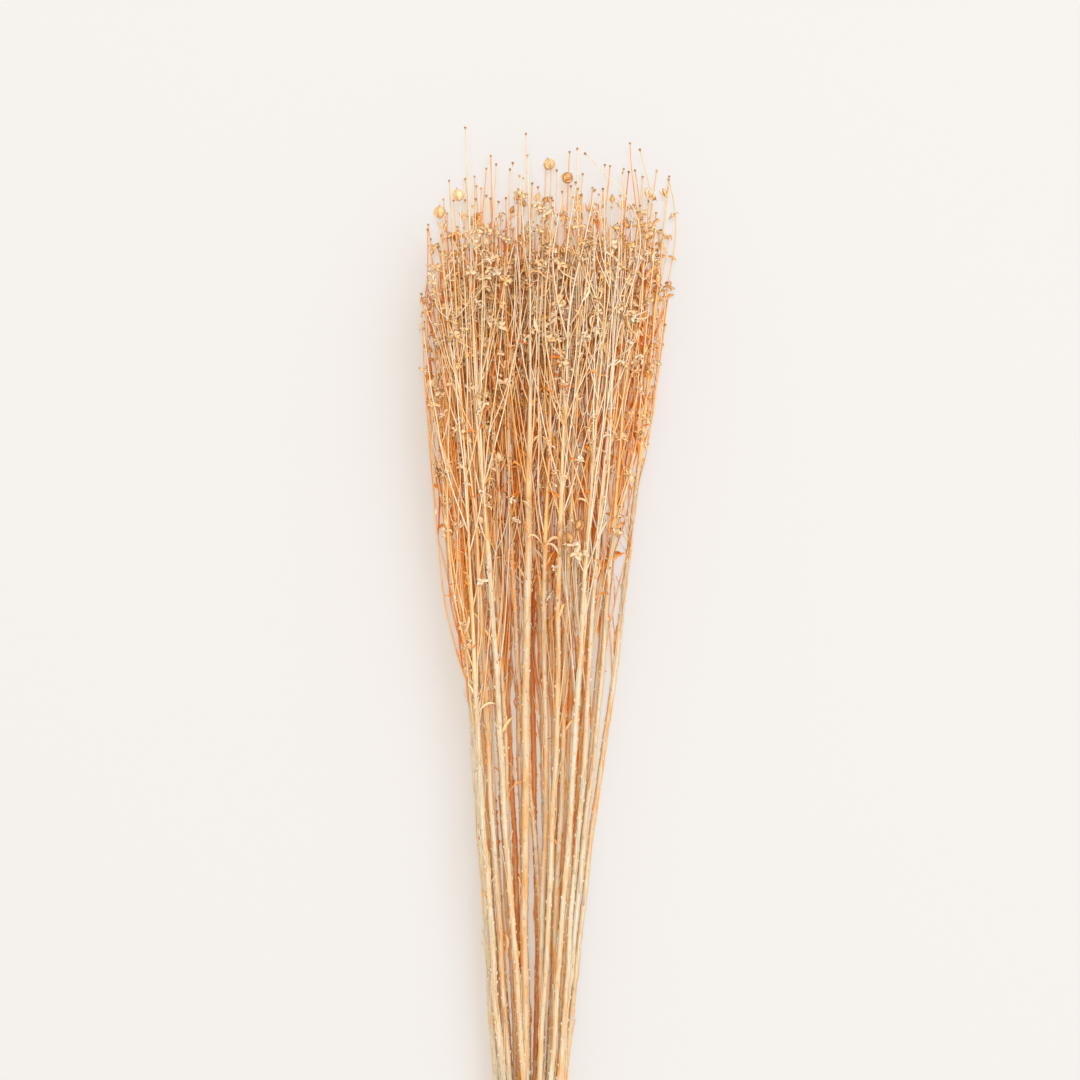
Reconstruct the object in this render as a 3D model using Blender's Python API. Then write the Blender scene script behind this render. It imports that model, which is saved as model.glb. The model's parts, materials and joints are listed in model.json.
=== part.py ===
"""A bunch of dried, bleached flax lying flat, tied near its cut ends.

Y runs along the bunch, from the cut ends to the tips, X across it and Z up. Lengths in the tables are
millimetres. The origin is on the table, under the middle of the bunch.

Each plant is one stem and, above its main fork, one branching seed head. The plants lie in five layers
that fan out from the tie, so no two of them pass through each other.
"""

import math
import random
from typing import NamedTuple

import bmesh
import bpy
import numpy as np
from mathutils import Vector

MM = 0.001

# Places along the bunch where the plants' positions are given
ALONG = (-295, -235, -180, -90, -10, 60, 160, 235)

# Height of each layer of stems above the table at those places, the lowest layer first
LAYER_HEIGHTS = (
    (1.5, 3.0, 2.4, 1.45, 1.4, 1.4, 2.2, 3.4),
    (5.2, 6.5, 6.4, 6.8, 7.8, 9.4, 11.8, 14.0),
    (8.8, 10.0, 10.4, 12.1, 14.5, 17.5, 21.6, 24.0),
    (12.4, 13.5, 14.5, 17.4, 21.2, 25.6, 31.0, 33.5),
    (16.0, 17.6, 18.9, 22.6, 27.6, 33.4, 39.5, 42.0),
)
TIP_RISE = 0.35

# The layers above the lowest sag towards the bunch's sides, from one place on and fully at another: the
# share of the height that is lost at a given distance from the bunch's middle
SAG_ALONG = (-180, 60)
SAG_SHARE = 0.36
SAG_HALF_WIDTH = 60
MIDDLE = -3

# Each plant lies a little above or below its layer's mean height, more so towards the tips
UNEVEN_HEIGHT = 2.3
UNEVEN_TURN = 2.4

# The bunch's left and right outline in the seed heads, and the height that they keep below
OUTLINE_ALONG = (-10, 60, 110, 160, 210, 260, 300)
OUTLINE_LEFT = (-40, -54, -61, -63, -62, -55, -46)
OUTLINE_RIGHT = (31, 40, 48, 54, 60, 64, 62)
HEAD_LOWEST = 1.1
HEAD_TOP = 49

# The tie round the stems
TIE_ALONG = -235
TIE_WIDTH = 6
TIE_THICKNESS = 1.2
TIE_SIDES = 24

# Clear space between neighbouring pieces, and between a stalk and its own plant just above the fork
GAP = 0.3
OWN_GAP = 0.08

# Sides of a stem, of a seed head's axis and of its stalks, and the angle of a ring's first corner
STEM_SIDES = 6
AXIS_SIDES = 4
STALK_SIDES = 3
RING_START = {6: math.pi / 6, 4: math.pi / 4, 3: math.pi / 2}

# Thickness of the stems, and how unevenly they are cut
FORK_TAPER = 0.86
AXIS_SHARE = 0.66
TIP_RADIUS = 0.42
STALK_RADIUS = 0.66
STALK_END_RADIUS = 0.46
CUT_STAGGER = 9
LAST_STEM_PIECE = 14

# Forks of a seed head: share of the way from the main fork to the tip, and how many stalks leave there
FORKS = ((0.02, 3), (0.30, 3), (0.56, 2))
FIRST_FORK = 1.5
FORK_HEIGHT = 2.4

# Course of a stalk: share of the head's length, sideways reach, turn off its face, and flattening
STALK_LENGTHS = (0.42, 0.98)
STALK_REACH = (3, 17)
STALK_FULL_REACH = 70
STALK_TURN = 0.6
STALK_FLATNESS = 0.55
STALK_CLEARANCE = 0.2
STALK_OFFSET = 1.6
STALK_BEND = 0.34
STALK_TRIES = 150
SEED = 31

# Faces of the axis that a plant lying on the table can grow stalks from: right, up and left
UP_AND_ASIDE = (0, 1, 2)

# Ends of the stalks, with their length and radius: the knob that a capsule has dropped from, the papery
# cup of old sepals, and a ripe seed capsule, round with a pointed end
ENDS = {
    "knob": (1.8, 0.95),
    "cup": (5.5, 2.1),
    "small_capsule": (6.4, 2.6),
    "capsule": (8.2, 3.5),
}
CUP_SHARE = 0.34
CAPSULE_SIDES = 6
WHOLE_AXIS = -1


class Plant(NamedTuple):
    """One flax plant: its layer, stem diameter, main fork, tip and its course across the bunch."""

    layer: int
    girth: float
    fork: float
    tip: tuple
    across: tuple


class Stalk(NamedTuple):
    """One side stalk of a seed head: the fork and the face that it leaves, its points and its end."""

    fork: int
    face: int
    points: tuple
    end: str


# The lowest layer first, each layer from left to right
PLANTS = (
    Plant(0, 2.9, 74, (-54, 262), (-23.0, -19.6, -20.5, -26.0, -30.5, -35.5, -44.0, -51.0)),
    Plant(0, 2.8, 92, (-30, 284), (-17.0, -15.6, -13.0, -17.0, -20.5, -23.5, -26.0, -28.5)),
    Plant(0, 3.0, 84, (-9, 270), (-11.0, -11.4, -7.2, -6.8, -8.5, -10.0, -11.5, -11.0)),
    Plant(0, 2.8, 66, (10, 286), (-6.0, -7.0, -0.5, 3.5, 5.0, 4.5, 5.5, 8.0)),
    Plant(0, 2.9, 88, (40, 276), (-1.0, -2.8, 4.4, 11.0, 16.0, 20.0, 29.0, 36.0)),
    Plant(1, 2.9, 58, (-52, 254), (-26.5, -22.2, -24.5, -29.5, -34.0, -41.0, -50.5, -52.0)),
    Plant(1, 3.0, 80, (-38, 272), (-20.0, -17.9, -17.4, -21.5, -26.0, -29.5, -35.0, -37.5)),
    Plant(1, 2.8, 96, (-16, 266), (-14.5, -13.6, -10.8, -13.5, -15.5, -17.0, -17.0, -16.0)),
    Plant(1, 3.0, 62, (-2, 280), (-9.0, -9.0, -5.6, -3.0, -3.5, -5.5, -4.5, -3.0)),
    Plant(1, 2.9, 90, (16, 262), (-4.0, -4.8, 0.4, 5.5, 9.5, 11.0, 13.0, 15.0)),
    Plant(1, 2.8, 72, (54, 276), (1.5, -0.6, 6.2, 13.6, 21.5, 27.5, 40.0, 46.5)),
    Plant(2, 2.8, 30, (-60, 240), (-30.0, -24.6, -26.6, -32.0, -37.0, -46.0, -57.0, -60.0)),
    Plant(2, 3.0, 78, (-32, 275), (-25.0, -20.8, -21.0, -26.0, -30.0, -33.5, -37.0, -38.0)),
    Plant(2, 2.7, 86, (-27, 277), (-18.5, -17.2, -15.5, -20.0, -22.5, -26.5, -29.5, -30.0)),
    Plant(2, 2.7, 98, (-20, 274), (-8.5, -9.2, -4.6, -5.6, -13.0, -18.0, -21.5, -22.0)),
    Plant(2, 2.8, 70, (0.5, 276), (-5.0, -5.7, -0.8, 1.8, 1.8, 0.0, -1.5, -0.5)),
    Plant(2, 3.0, 82, (30, 276), (-1.5, -2.1, 3.4, 8.6, 13.0, 16.0, 20.0, 24.0)),
    Plant(2, 3.0, 128, (60, 272), (5.5, 1.4, 8.0, 17.0, 28.0, 37.0, 48.5, 56.0)),
    Plant(3, 3.0, 10, (-61, 247), (-26.0, -21.4, -27.0, -33.0, -38.5, -43.0, -51.0, -57.5)),
    Plant(3, 3.2, 60, (-48, 258), (-21.5, -17.6, -20.5, -26.5, -31.0, -34.7, -41.0, -45.5)),
    Plant(3, 4.6, 112, (-12, 290.7), (-13.5, -13.1, -12.4, -12.7, -12.2, -11.3, -10.0, -10.0)),
    Plant(3, 3.0, 88, (7, 268), (-9.0, -8.6, -5.6, -3.4, -1.8, -3.0, 0.5, 3.5)),
    Plant(3, 2.9, 76, (13.5, 283), (-4.5, -4.8, -0.6, 3.5, 6.6, 8.5, 12.5, 14.5)),
    Plant(3, 2.9, 94, (40, 287), (1.0, -1.0, 5.6, 13.8, 23.0, 28.7, 37.5, 47.5)),
    Plant(4, 3.1, 20, (-50, 267), (-19.5, -16.0, -23.5, -30.5, -36.0, -38.8, -44.0, -48.0)),
    Plant(4, 3.2, 84, (-42, 293.2), (-9.5, -11.6, -13.2, -19.8, -24.8, -29.0, -36.0, -39.5)),
    Plant(4, 3.0, 98, (22, 262), (-5.9, -8.0, -5.0, -0.5, 3.2, 4.2, 7.5, 13.0)),
    Plant(4, 3.0, 70, (27, 274), (-2.3, -4.4, 0.4, 7.0, 12.5, 16.5, 23.5, 30.0)),
    Plant(4, 2.9, 100, (36.5, 273), (1.2, -0.8, 4.6, 11.4, 17.6, 21.5, 30.0, 36.5)),
)

# Ends of the axes that aren't a knob, by plant
AXIS_ENDS = {15: "small_capsule", 21: "capsule"}

# Stalks with a course and an end of their own: the plant, the end and the course. A point of a course is
# a place across, a place along and a height above the plant's layer. The long ones shape the outline
GUIDED_STALKS = (
    (11, "knob", ((-53, 95, 1), (-61, 165, 1), (-61.5, 245, 1))),
    (17, "knob", ((55, 185, 2), (61, 228, 3), (64.4, 254, 3), (60, 270, 3))),
    (18, "knob", ((-51, 50, 1), (-58, 112, 1), (-63, 176, 2), (-64.4, 212, 2))),
    (23, "knob", ((48.5, 205, 2), (52.5, 256, 3), (45, 283, 5))),
    (24, "capsule", ((-50.5, 185, 3), (-54.8, 250, 3))),
    (25, "small_capsule", ((-41, 190, 3), (-44.7, 258, 4))),
    (27, "knob", ((33, 190, 4), (44, 252, 6), (18, 279, 6))),
    (27, "capsule", ((11.5, 85, 4), (10, 89, 4))),
)


def smooth(places, values, place):
    """Value at a place on the smooth curve through the values given at increasing places."""
    last = len(places) - 1
    index = min(max(int(np.searchsorted(places, place)) - 1, 0), last - 1)
    slopes = []
    for end in (index, index + 1):
        before = max(end - 1, 0)
        after = min(end + 1, last)
        slopes.append((values[after] - values[before]) / (places[after] - places[before]))
    length = places[index + 1] - places[index]
    t = (place - places[index]) / length
    start_part = (2 * t**3 - 3 * t**2 + 1) * values[index] + (t**3 - 2 * t**2 + t) * length * slopes[0]
    end_part = (3 * t**2 - 2 * t**3) * values[index + 1] + (t**3 - t**2) * length * slopes[1]
    return start_part + end_part


def ease(low, high, value):
    """Smooth rise from 0 at one value to 1 at another."""
    t = min(max((value - low) / (high - low), 0), 1)
    return t * t * (3 - 2 * t)


def layer_height(layer, x, y):
    """Height of a layer at a place across and along the bunch, lower towards the sides."""
    heights = LAYER_HEIGHTS[layer]
    height = smooth(ALONG, heights, min(y, ALONG[-1])) + TIP_RISE * layer * ease(ALONG[-1], -ALONG[0], y)
    if layer == 0:
        return height
    side = (x - MIDDLE) / SAG_HALF_WIDTH
    return height * (1 - SAG_SHARE * ease(*SAG_ALONG, y) * side**2)


def axis_point(plant, y):
    """Point of a plant's main axis at a place along the bunch."""
    tip_x, tip_y = plant.tip
    x = smooth(ALONG + (tip_y,), plant.across + (tip_x,), y)
    uneven = UNEVEN_HEIGHT * math.sin(UNEVEN_TURN * PLANTS.index(plant)) * ease(*SAG_ALONG, y)
    if plant.layer == 0:
        uneven = abs(uneven) / 2
    return Vector((x, y, layer_height(plant.layer, x, y) + uneven))


def axis_radius(plant, y):
    """Radius of a plant's stem, or of its axis above the main fork."""
    bottom = plant.girth / 2
    if y <= plant.fork:
        share = (y - ALONG[0]) / (plant.fork - ALONG[0])
        return bottom * (1 + (FORK_TAPER - 1) * share)
    share = (y - plant.fork) / (plant.tip[1] - plant.fork)
    start = bottom * AXIS_SHARE
    return start + (TIP_RADIUS - start) * share**0.8


def stem_places(plant):
    """Places of the rings that a stem is drawn through. The stems are cut a little unevenly."""
    cut = ALONG[0] + CUT_STAGGER * ((PLANTS.index(plant) * 7) % 5) / 4
    places = [place for place in ALONG[1:] if place < plant.fork - LAST_STEM_PIECE]
    return [cut] + places + [plant.fork]


def fork_places(plant):
    """Place along the bunch of each fork of a plant's seed head."""
    length = plant.tip[1] - plant.fork
    return [plant.fork + share * length + FIRST_FORK for share, count in FORKS]


def axis_places(plant):
    """Places of the rings that a seed head's axis is drawn through."""
    places = [plant.fork + GAP]
    for place in fork_places(plant):
        places += [place, place + FORK_HEIGHT]
    return places + [plant.tip[1]]


def face_direction(face):
    """Direction, across the bunch, that a face of a seed head's four-sided axis looks in."""
    angle = math.pi / 2 * face
    return Vector((math.cos(angle), 0, math.sin(angle)))


def segment_distance(start, end, starts, ends):
    """Shortest distance from one straight piece to each of many, as an array."""
    u = end - start
    v = ends - starts
    w = start - starts
    a = u @ u
    b = v @ u
    c = np.einsum("ij,ij->i", v, v)
    d = w @ u
    e = np.einsum("ij,ij->i", v, w)
    spread = np.maximum(a * c - b * b, 1e-9)
    s = np.clip((b * e - c * d) / spread, 0, 1)
    t = np.clip((b * s + e) / c, 0, 1)
    s = np.clip((b * t - d) / a, 0, 1)
    between = w + s[:, None] * u - t[:, None] * v
    return np.sqrt(np.einsum("ij,ij->i", between, between))


class Taken:
    """The straight pieces that already fill the bunch, with the plant and fork that each belongs to."""

    def __init__(self):
        """Start with an empty bunch."""
        self.starts = np.empty((0, 3))
        self.ends = np.empty((0, 3))
        self.radii = np.empty(0)
        self.owners = np.empty((0, 2), dtype=int)

    def add(self, points, radii, plant, fork):
        """Fill a chain of straight pieces between the points, with a radius for each piece."""
        chain = np.array(points)
        self.starts = np.vstack((self.starts, chain[:-1]))
        self.ends = np.vstack((self.ends, chain[1:]))
        self.radii = np.append(self.radii, radii)
        self.owners = np.vstack((self.owners, [(plant, fork)] * len(radii)))

    def is_clear(self, points, radii, plant, fork):
        """Whether a stalk's chain of pieces, from its root on, keeps its distance from all that is there.

        The root may touch the axis and the stalks that leave the same fork, and the next piece may be
        close to them.
        """
        chain = np.array(points)
        own = self.owners[:, 0] == plant
        related = own & ((self.owners[:, 1] == WHOLE_AXIS) | (self.owners[:, 1] == fork))
        for index, radius in enumerate(radii):
            apart = segment_distance(chain[index], chain[index + 1], self.starts, self.ends)
            needed = self.radii + radius + np.where(related, OWN_GAP, GAP)
            close = apart < needed
            if index == 0:
                close &= ~related
            if close.any():
                return False
        return True


def in_outline(points):
    """Whether points stay inside the bunch's outline, above the table and below its top."""
    for x, y, z in points:
        left = smooth(OUTLINE_ALONG, OUTLINE_LEFT, y)
        right = smooth(OUTLINE_ALONG, OUTLINE_RIGHT, y)
        if not (left < x < right and HEAD_LOWEST < z < HEAD_TOP):
            return False
    return True


def stalk_start(plant, place, face):
    """Point where a stalk leaves a face of the axis, just clear of it."""
    clear = axis_radius(plant, place) + STALK_RADIUS + STALK_CLEARANCE
    return axis_point(plant, place + FORK_HEIGHT) + face_direction(face) * clear


def random_stalk(plant, place, face, chance):
    """Points of a stalk that leaves a face of the axis and bends up beside it."""
    tip_y = plant.tip[1]
    length = (tip_y - place) * chance.uniform(*STALK_LENGTHS)
    reach = chance.uniform(*STALK_REACH) * min(1, length / STALK_FULL_REACH)
    turn = math.pi / 2 * face + chance.uniform(-STALK_TURN, STALK_TURN)
    across = Vector((math.cos(turn), 0, STALK_FLATNESS * math.sin(turn)))
    points = [stalk_start(plant, place, face)]
    for t in (STALK_BEND, 1):
        centre = axis_point(plant, place + t * length)
        points.append(centre + across * reach * (1 - (1 - t) ** 2) + face_direction(face) * STALK_OFFSET)
    return points


def guided_stalk(plant, place, face, course):
    """Points of a stalk that follows a given course, at given heights above its plant's layer."""
    points = [stalk_start(plant, place, face)]
    for x, y, rise in course:
        points.append(Vector((x, y, layer_height(plant.layer, x, y) + rise)))
    return points


def with_end(points, radii, end):
    """A chain of straight pieces and their radii, with the end's own piece added."""
    length, radius = ENDS[end]
    along = (points[-1] - points[-2]).normalized()
    return points + [points[-1] + along * length], radii + [radius]


def stalk_chain(plant, place, points, end):
    """The chain of straight pieces that a stalk fills, from its root in the axis to its end's tip."""
    root = axis_point(plant, place + FORK_HEIGHT / 2)
    return with_end([root] + points, [STALK_RADIUS] * len(points), end)


def plan_guided_stalks(taken, stalks):
    """Place the stalks that have a course of their own."""
    for number, end, course in GUIDED_STALKS:
        plant = PLANTS[number]
        place = fork_places(plant)[0]
        face = 0 if course[0][0] > axis_point(plant, course[0][1]).x else 2
        points = guided_stalk(plant, place, face, course)
        taken.add(*stalk_chain(plant, place, points, end), number, 0)
        stalks[number].append(Stalk(0, face, points, end))


def plan_random_stalk(taken, number, fork, face, chance):
    """A stalk that keeps clear of all that is there, or nothing if no try finds room for one."""
    plant = PLANTS[number]
    place = fork_places(plant)[fork]
    end = "cup" if chance.random() < CUP_SHARE else "knob"
    for attempt in range(STALK_TRIES):
        points = random_stalk(plant, place, face, chance)
        chain, radii = stalk_chain(plant, place, points, end)
        if in_outline(chain) and taken.is_clear(chain, radii, number, fork):
            taken.add(chain, radii, number, fork)
            return Stalk(fork, face, points, end)
    return None


def plan_bunch():
    """Side stalks of every plant, found one after another so that they all keep clear of each other."""
    chance = random.Random(SEED)
    taken = Taken()
    for number, plant in enumerate(PLANTS):
        for places in (stem_places(plant), axis_places(plant)):
            points = [axis_point(plant, place) for place in places]
            radii = [axis_radius(plant, place) for place in places[:-1]]
            if places[-1] == plant.tip[1]:
                points, radii = with_end(points, radii, AXIS_ENDS.get(number, "knob"))
            taken.add(points, radii, number, WHOLE_AXIS)
    stalks = [[] for plant in PLANTS]
    plan_guided_stalks(taken, stalks)
    for fork, (share, count) in enumerate(FORKS):
        for number, plant in enumerate(PLANTS):
            used = [stalk.face for stalk in stalks[number] if stalk.fork == fork]
            open_faces = UP_AND_ASIDE if plant.layer == 0 else range(AXIS_SIDES)
            free = [face for face in open_faces if face not in used]
            for face in chance.sample(free, count - len(used)):
                stalk = plan_random_stalk(taken, number, fork, face, chance)
                if stalk:
                    stalks[number].append(stalk)
    return stalks


def make_ring(mesh, centre, along, radius, sides):
    """Vertices of a ring round a point, square to a direction."""
    along = along.normalized()
    right = along.cross(Vector((0, 0, 1))).normalized()
    up = right.cross(along)
    ring = []
    for index in range(sides):
        angle = RING_START[sides] + 2 * math.pi * index / sides
        spot = centre + (right * math.cos(angle) + up * math.sin(angle)) * radius
        ring.append(mesh.verts.new(spot * MM))
    return ring


def join_rings(mesh, lower, upper):
    """Faces between two rings with the same number of sides. Returns one face for each side."""
    faces = []
    for index in range(len(lower)):
        after = (index + 1) % len(lower)
        faces.append(mesh.faces.new((lower[index], lower[after], upper[after], upper[index])))
    return faces


def zip_steps(lower, upper):
    """Triangles between two loops of vertices that may differ in number, taking turns along them."""
    triangles = []
    low_steps = 0
    high_steps = 0
    while low_steps < len(lower) or high_steps < len(upper):
        low = lower[low_steps % len(lower)]
        high = upper[high_steps % len(upper)]
        if low_steps * len(upper) <= high_steps * len(lower) and low_steps < len(lower):
            low_steps += 1
            triangles.append((low, lower[low_steps % len(lower)], high))
        else:
            high_steps += 1
            triangles.append((low, upper[high_steps % len(upper)], high))
    return triangles


def middle(loop):
    """Middle of a loop of vertices."""
    return sum((vertex.co for vertex in loop), Vector()) / len(loop)


def twist(steps, along):
    """How far the triangles between two loops stray from the way between the loops' middles."""
    total = 0
    for low, after, high in steps:
        total += along.cross(high.co - low.co).length
    return total


def zip_rings(mesh, lower, upper):
    """Faces between two loops that may differ in number, turned so that the joint twists the least."""
    along = (middle(upper) - middle(lower)).normalized()
    choices = []
    for loop in (upper, upper[::-1]):
        for turn in range(len(loop)):
            choices.append(zip_steps(lower, loop[turn:] + loop[:turn]))
    for triangle in min(choices, key=lambda steps: twist(steps, along)):
        mesh.faces.new(triangle)


def direction_at(points, index):
    """Direction of a chain of points at one of them."""
    before = points[max(index - 1, 0)]
    after = points[min(index + 1, len(points) - 1)]
    return (after - before).normalized()


def add_end(mesh, ring, start, along, end):
    """Close a stalk or an axis with its knob, cup or capsule."""
    length, radius = ENDS[end]
    sides = len(ring)
    if end == "knob":
        rim = make_ring(mesh, start + along * length, along, radius, sides)
        join_rings(mesh, ring, rim)
        mesh.faces.new(rim)
    elif end == "cup":
        waist = make_ring(mesh, start + along * length * 0.55, along, radius * 0.8, sides)
        rim = make_ring(mesh, start + along * length, along, radius, sides)
        join_rings(mesh, ring, waist)
        join_rings(mesh, waist, rim)
        mesh.faces.new(rim)
    else:
        low = make_ring(mesh, start + along * length * 0.2, along, radius * 0.85, CAPSULE_SIDES)
        high = make_ring(mesh, start + along * length * 0.55, along, radius, CAPSULE_SIDES)
        point = mesh.verts.new((start + along * length) * MM)
        zip_rings(mesh, ring, low)
        join_rings(mesh, low, high)
        for index in range(CAPSULE_SIDES):
            mesh.faces.new((high[index], high[(index + 1) % CAPSULE_SIDES], point))


def add_stalk(mesh, face, outward, stalk):
    """Grow a stalk out of a face of the axis. It leaves the face squarely and turns on its way there."""
    base = list(face.verts)
    mesh.faces.remove(face)
    turning = outward + direction_at(stalk.points, 0)
    ring = make_ring(mesh, stalk.points[0], turning, STALK_RADIUS, STALK_SIDES)
    zip_rings(mesh, base, ring)
    last = len(stalk.points) - 1
    for index, point in enumerate(stalk.points[1:], 1):
        along = direction_at(stalk.points, index)
        radius = STALK_RADIUS + (STALK_END_RADIUS - STALK_RADIUS) * index / last
        following = make_ring(mesh, point, along, radius, STALK_SIDES)
        join_rings(mesh, ring, following)
        ring = following
    add_end(mesh, ring, stalk.points[-1], along, stalk.end)


def build_stem(plant):
    """Mesh of one bare stem, from its cut end to its main fork."""
    mesh = bmesh.new()
    rings = []
    for place in stem_places(plant):
        centre = axis_point(plant, place)
        rings.append(make_ring(mesh, centre, Vector((0, 1, 0)), axis_radius(plant, place), STEM_SIDES))
    mesh.faces.new(rings[0])
    for lower, upper in zip(rings, rings[1:]):
        join_rings(mesh, lower, upper)
    mesh.faces.new(rings[-1])
    return mesh


def build_head(plant, stalks):
    """Mesh of one seed head: its axis, and its stalks grown out of the axis at the forks."""
    mesh = bmesh.new()
    along = Vector((0, 1, 0))
    rings = []
    for place in axis_places(plant):
        rings.append(make_ring(mesh, axis_point(plant, place), along, axis_radius(plant, place), AXIS_SIDES))
    mesh.faces.new(rings[0])
    sides = [join_rings(mesh, lower, upper) for lower, upper in zip(rings, rings[1:])]
    tip = axis_point(plant, plant.tip[1])
    add_end(mesh, rings[-1], tip, along, AXIS_ENDS.get(PLANTS.index(plant), "knob"))
    for fork, place in enumerate(fork_places(plant)):
        centre = axis_point(plant, place)
        faces = sides[1 + 2 * fork]
        outward = [(face.calc_center_median() / MM - centre).normalized() for face in faces]
        for stalk in stalks:
            if stalk.fork == fork:
                side = face_direction(stalk.face)
                nearest = max(range(AXIS_SIDES), key=lambda index: outward[index].dot(side))
                add_stalk(mesh, faces[nearest], side, stalk)
    return mesh


def wrap(circles, clearance):
    """Corners of the straight-sided loop that wraps circles, clear of them by a distance."""
    step = 2 * math.pi / TIE_SIDES
    reach = []
    for index in range(TIE_SIDES):
        angle = step * index
        furthest = max(x * math.cos(angle) + z * math.sin(angle) + radius for x, z, radius in circles)
        reach.append(furthest + clearance)
    corners = []
    for index in range(TIE_SIDES):
        angle = step * index
        slide = (reach[(index + 1) % TIE_SIDES] - reach[index] * math.cos(step)) / math.sin(step)
        x = reach[index] * math.cos(angle) - slide * math.sin(angle)
        z = reach[index] * math.sin(angle) + slide * math.cos(angle)
        corners.append((x, z))
    return corners


def build_tie():
    """Mesh of the elastic band, stretched round the stems."""
    low = TIE_ALONG - TIE_WIDTH / 2
    high = TIE_ALONG + TIE_WIDTH / 2
    circles = []
    for plant in PLANTS:
        for place in (low, high):
            point = axis_point(plant, place)
            circles.append((point.x, point.z, axis_radius(plant, place)))
    inner = wrap(circles, GAP)
    outer = wrap(circles, GAP + TIE_THICKNESS)
    mesh = bmesh.new()
    loops = []
    for corners, place in ((inner, low), (inner, high), (outer, high), (outer, low)):
        loops.append([mesh.verts.new(Vector((x, place, z)) * MM) for x, z in corners])
    for index in range(len(loops)):
        join_rings(mesh, loops[index], loops[(index + 1) % len(loops)])
    return mesh


def make_material(name, colour, roughness):
    """Material with a plain colour."""
    material = bpy.data.materials.new(name)
    material.use_nodes = True
    shader = material.node_tree.nodes["Principled BSDF"]
    shader.inputs["Base Color"].default_value = (*colour, 1)
    shader.inputs["Roughness"].default_value = roughness
    shader.inputs["Metallic"].default_value = 0
    return material


def make_object(name, mesh, material):
    """Object for one piece, from its finished mesh."""
    bmesh.ops.recalc_face_normals(mesh, faces=mesh.faces)
    bmesh.ops.triangulate(mesh, faces=mesh.faces)
    data = bpy.data.meshes.new(name)
    mesh.to_mesh(data)
    mesh.free()
    data.materials.append(material)
    piece = bpy.data.objects.new(name, data)
    bpy.context.scene.collection.objects.link(piece)


def main():
    """Build the bunch."""
    for old in list(bpy.data.objects):
        bpy.data.objects.remove(old)
    straw = make_material("bleached_straw", (0.80, 0.58, 0.34), 0.55)
    amber = make_material("dried_stalks", (0.72, 0.42, 0.19), 0.6)
    rubber = make_material("tie_rubber", (0.62, 0.45, 0.28), 0.5)
    stalks = plan_bunch()
    for number, plant in enumerate(PLANTS):
        label = f"{number + 1:02d}"
        make_object("stem_" + label, build_stem(plant), straw)
        make_object("seed_head_" + label, build_head(plant, stalks[number]), amber)
    make_object("tie_band", build_tie(), rubber)


main()
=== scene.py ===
"""Looks of a bunch of bleached, dried flax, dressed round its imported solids.

The bunch lies on a pale floor and the camera looks straight down on it, with the tips at the top. Every
plant follows the lines of its own solids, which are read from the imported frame. Lengths are millimetres
until a mesh is made.
"""

from __future__ import annotations

import json
import logging
import math
import random
from dataclasses import dataclass, field
from enum import IntEnum

import bmesh
import bpy
import numpy as np
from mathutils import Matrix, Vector, noise
from mathutils.geometry import convex_hull_2d

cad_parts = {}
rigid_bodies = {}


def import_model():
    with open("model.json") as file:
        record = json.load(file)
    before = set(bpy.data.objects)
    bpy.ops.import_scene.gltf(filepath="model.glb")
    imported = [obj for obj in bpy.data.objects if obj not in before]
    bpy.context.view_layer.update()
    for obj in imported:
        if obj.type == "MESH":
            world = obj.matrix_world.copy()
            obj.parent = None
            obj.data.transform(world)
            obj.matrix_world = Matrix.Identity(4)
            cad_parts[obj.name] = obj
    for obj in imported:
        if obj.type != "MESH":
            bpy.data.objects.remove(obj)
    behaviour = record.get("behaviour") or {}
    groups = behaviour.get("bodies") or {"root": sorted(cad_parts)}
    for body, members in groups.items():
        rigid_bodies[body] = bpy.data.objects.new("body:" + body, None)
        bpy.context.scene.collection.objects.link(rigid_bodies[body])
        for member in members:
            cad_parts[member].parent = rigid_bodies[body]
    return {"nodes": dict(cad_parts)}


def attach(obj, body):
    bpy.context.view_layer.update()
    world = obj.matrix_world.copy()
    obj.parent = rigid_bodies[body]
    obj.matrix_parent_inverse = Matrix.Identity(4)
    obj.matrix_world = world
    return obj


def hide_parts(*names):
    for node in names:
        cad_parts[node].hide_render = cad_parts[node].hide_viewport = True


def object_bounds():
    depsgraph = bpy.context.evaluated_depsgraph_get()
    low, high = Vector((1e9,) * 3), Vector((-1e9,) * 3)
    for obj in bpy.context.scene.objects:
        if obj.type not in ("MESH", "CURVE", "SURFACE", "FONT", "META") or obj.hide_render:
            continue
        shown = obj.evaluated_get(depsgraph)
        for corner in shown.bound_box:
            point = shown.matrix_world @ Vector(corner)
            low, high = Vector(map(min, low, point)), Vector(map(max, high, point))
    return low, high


MM = 0.001
SEED = 20

# What each plant's number is added to, for the chance of its tone, of its stem and of its head
TONE_SEEDS = SEED * 3000
STEM_SEEDS = SEED * 1000
HEAD_SEEDS = SEED * 2000

# The noise that folds the papery sepals would start from the clock without a seed of its own
FOLD_SEED = 1795815785

LOG = logging.getLogger("dried_flax")
BODY = "root"
GOLDEN_ANGLE = math.radians(137.5)

# The pale stems with peeling bark, and how pale they are
ROUGH_STEMS = (19, 25)
ROUGH_TONE = 0.84

# The other stems' tone: paler on top of the bunch and at its sides, which is painted light, and darker deep
# in it, which is painted shade
STEM_TONE_LOW = 0.08
STEM_PAINTED_SHADE_RISE = 0.64
STEM_PAINTED_LIGHT_AT_EDGE = 0.3
STEM_TONE_HIGHEST = 0.7
STEM_TONE_SPREAD = (-0.12, 0.14)

# How far past the band a stem has no scars or fibres
BAND_ROOM = 2.5

# A line's wandering is one wave and a shorter, lower one
WANDER_ORDERS = (1.0, 2.3)


class Role(IntEnum):
    """What a point of a skeleton mesh grows into."""

    ROUND = 0
    FLAT = 1
    ORNAMENT = 2


class Part(IntEnum):
    """Which finish a surface takes."""

    STRAW = 0
    PAPER = 1
    SEED = 2


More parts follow.
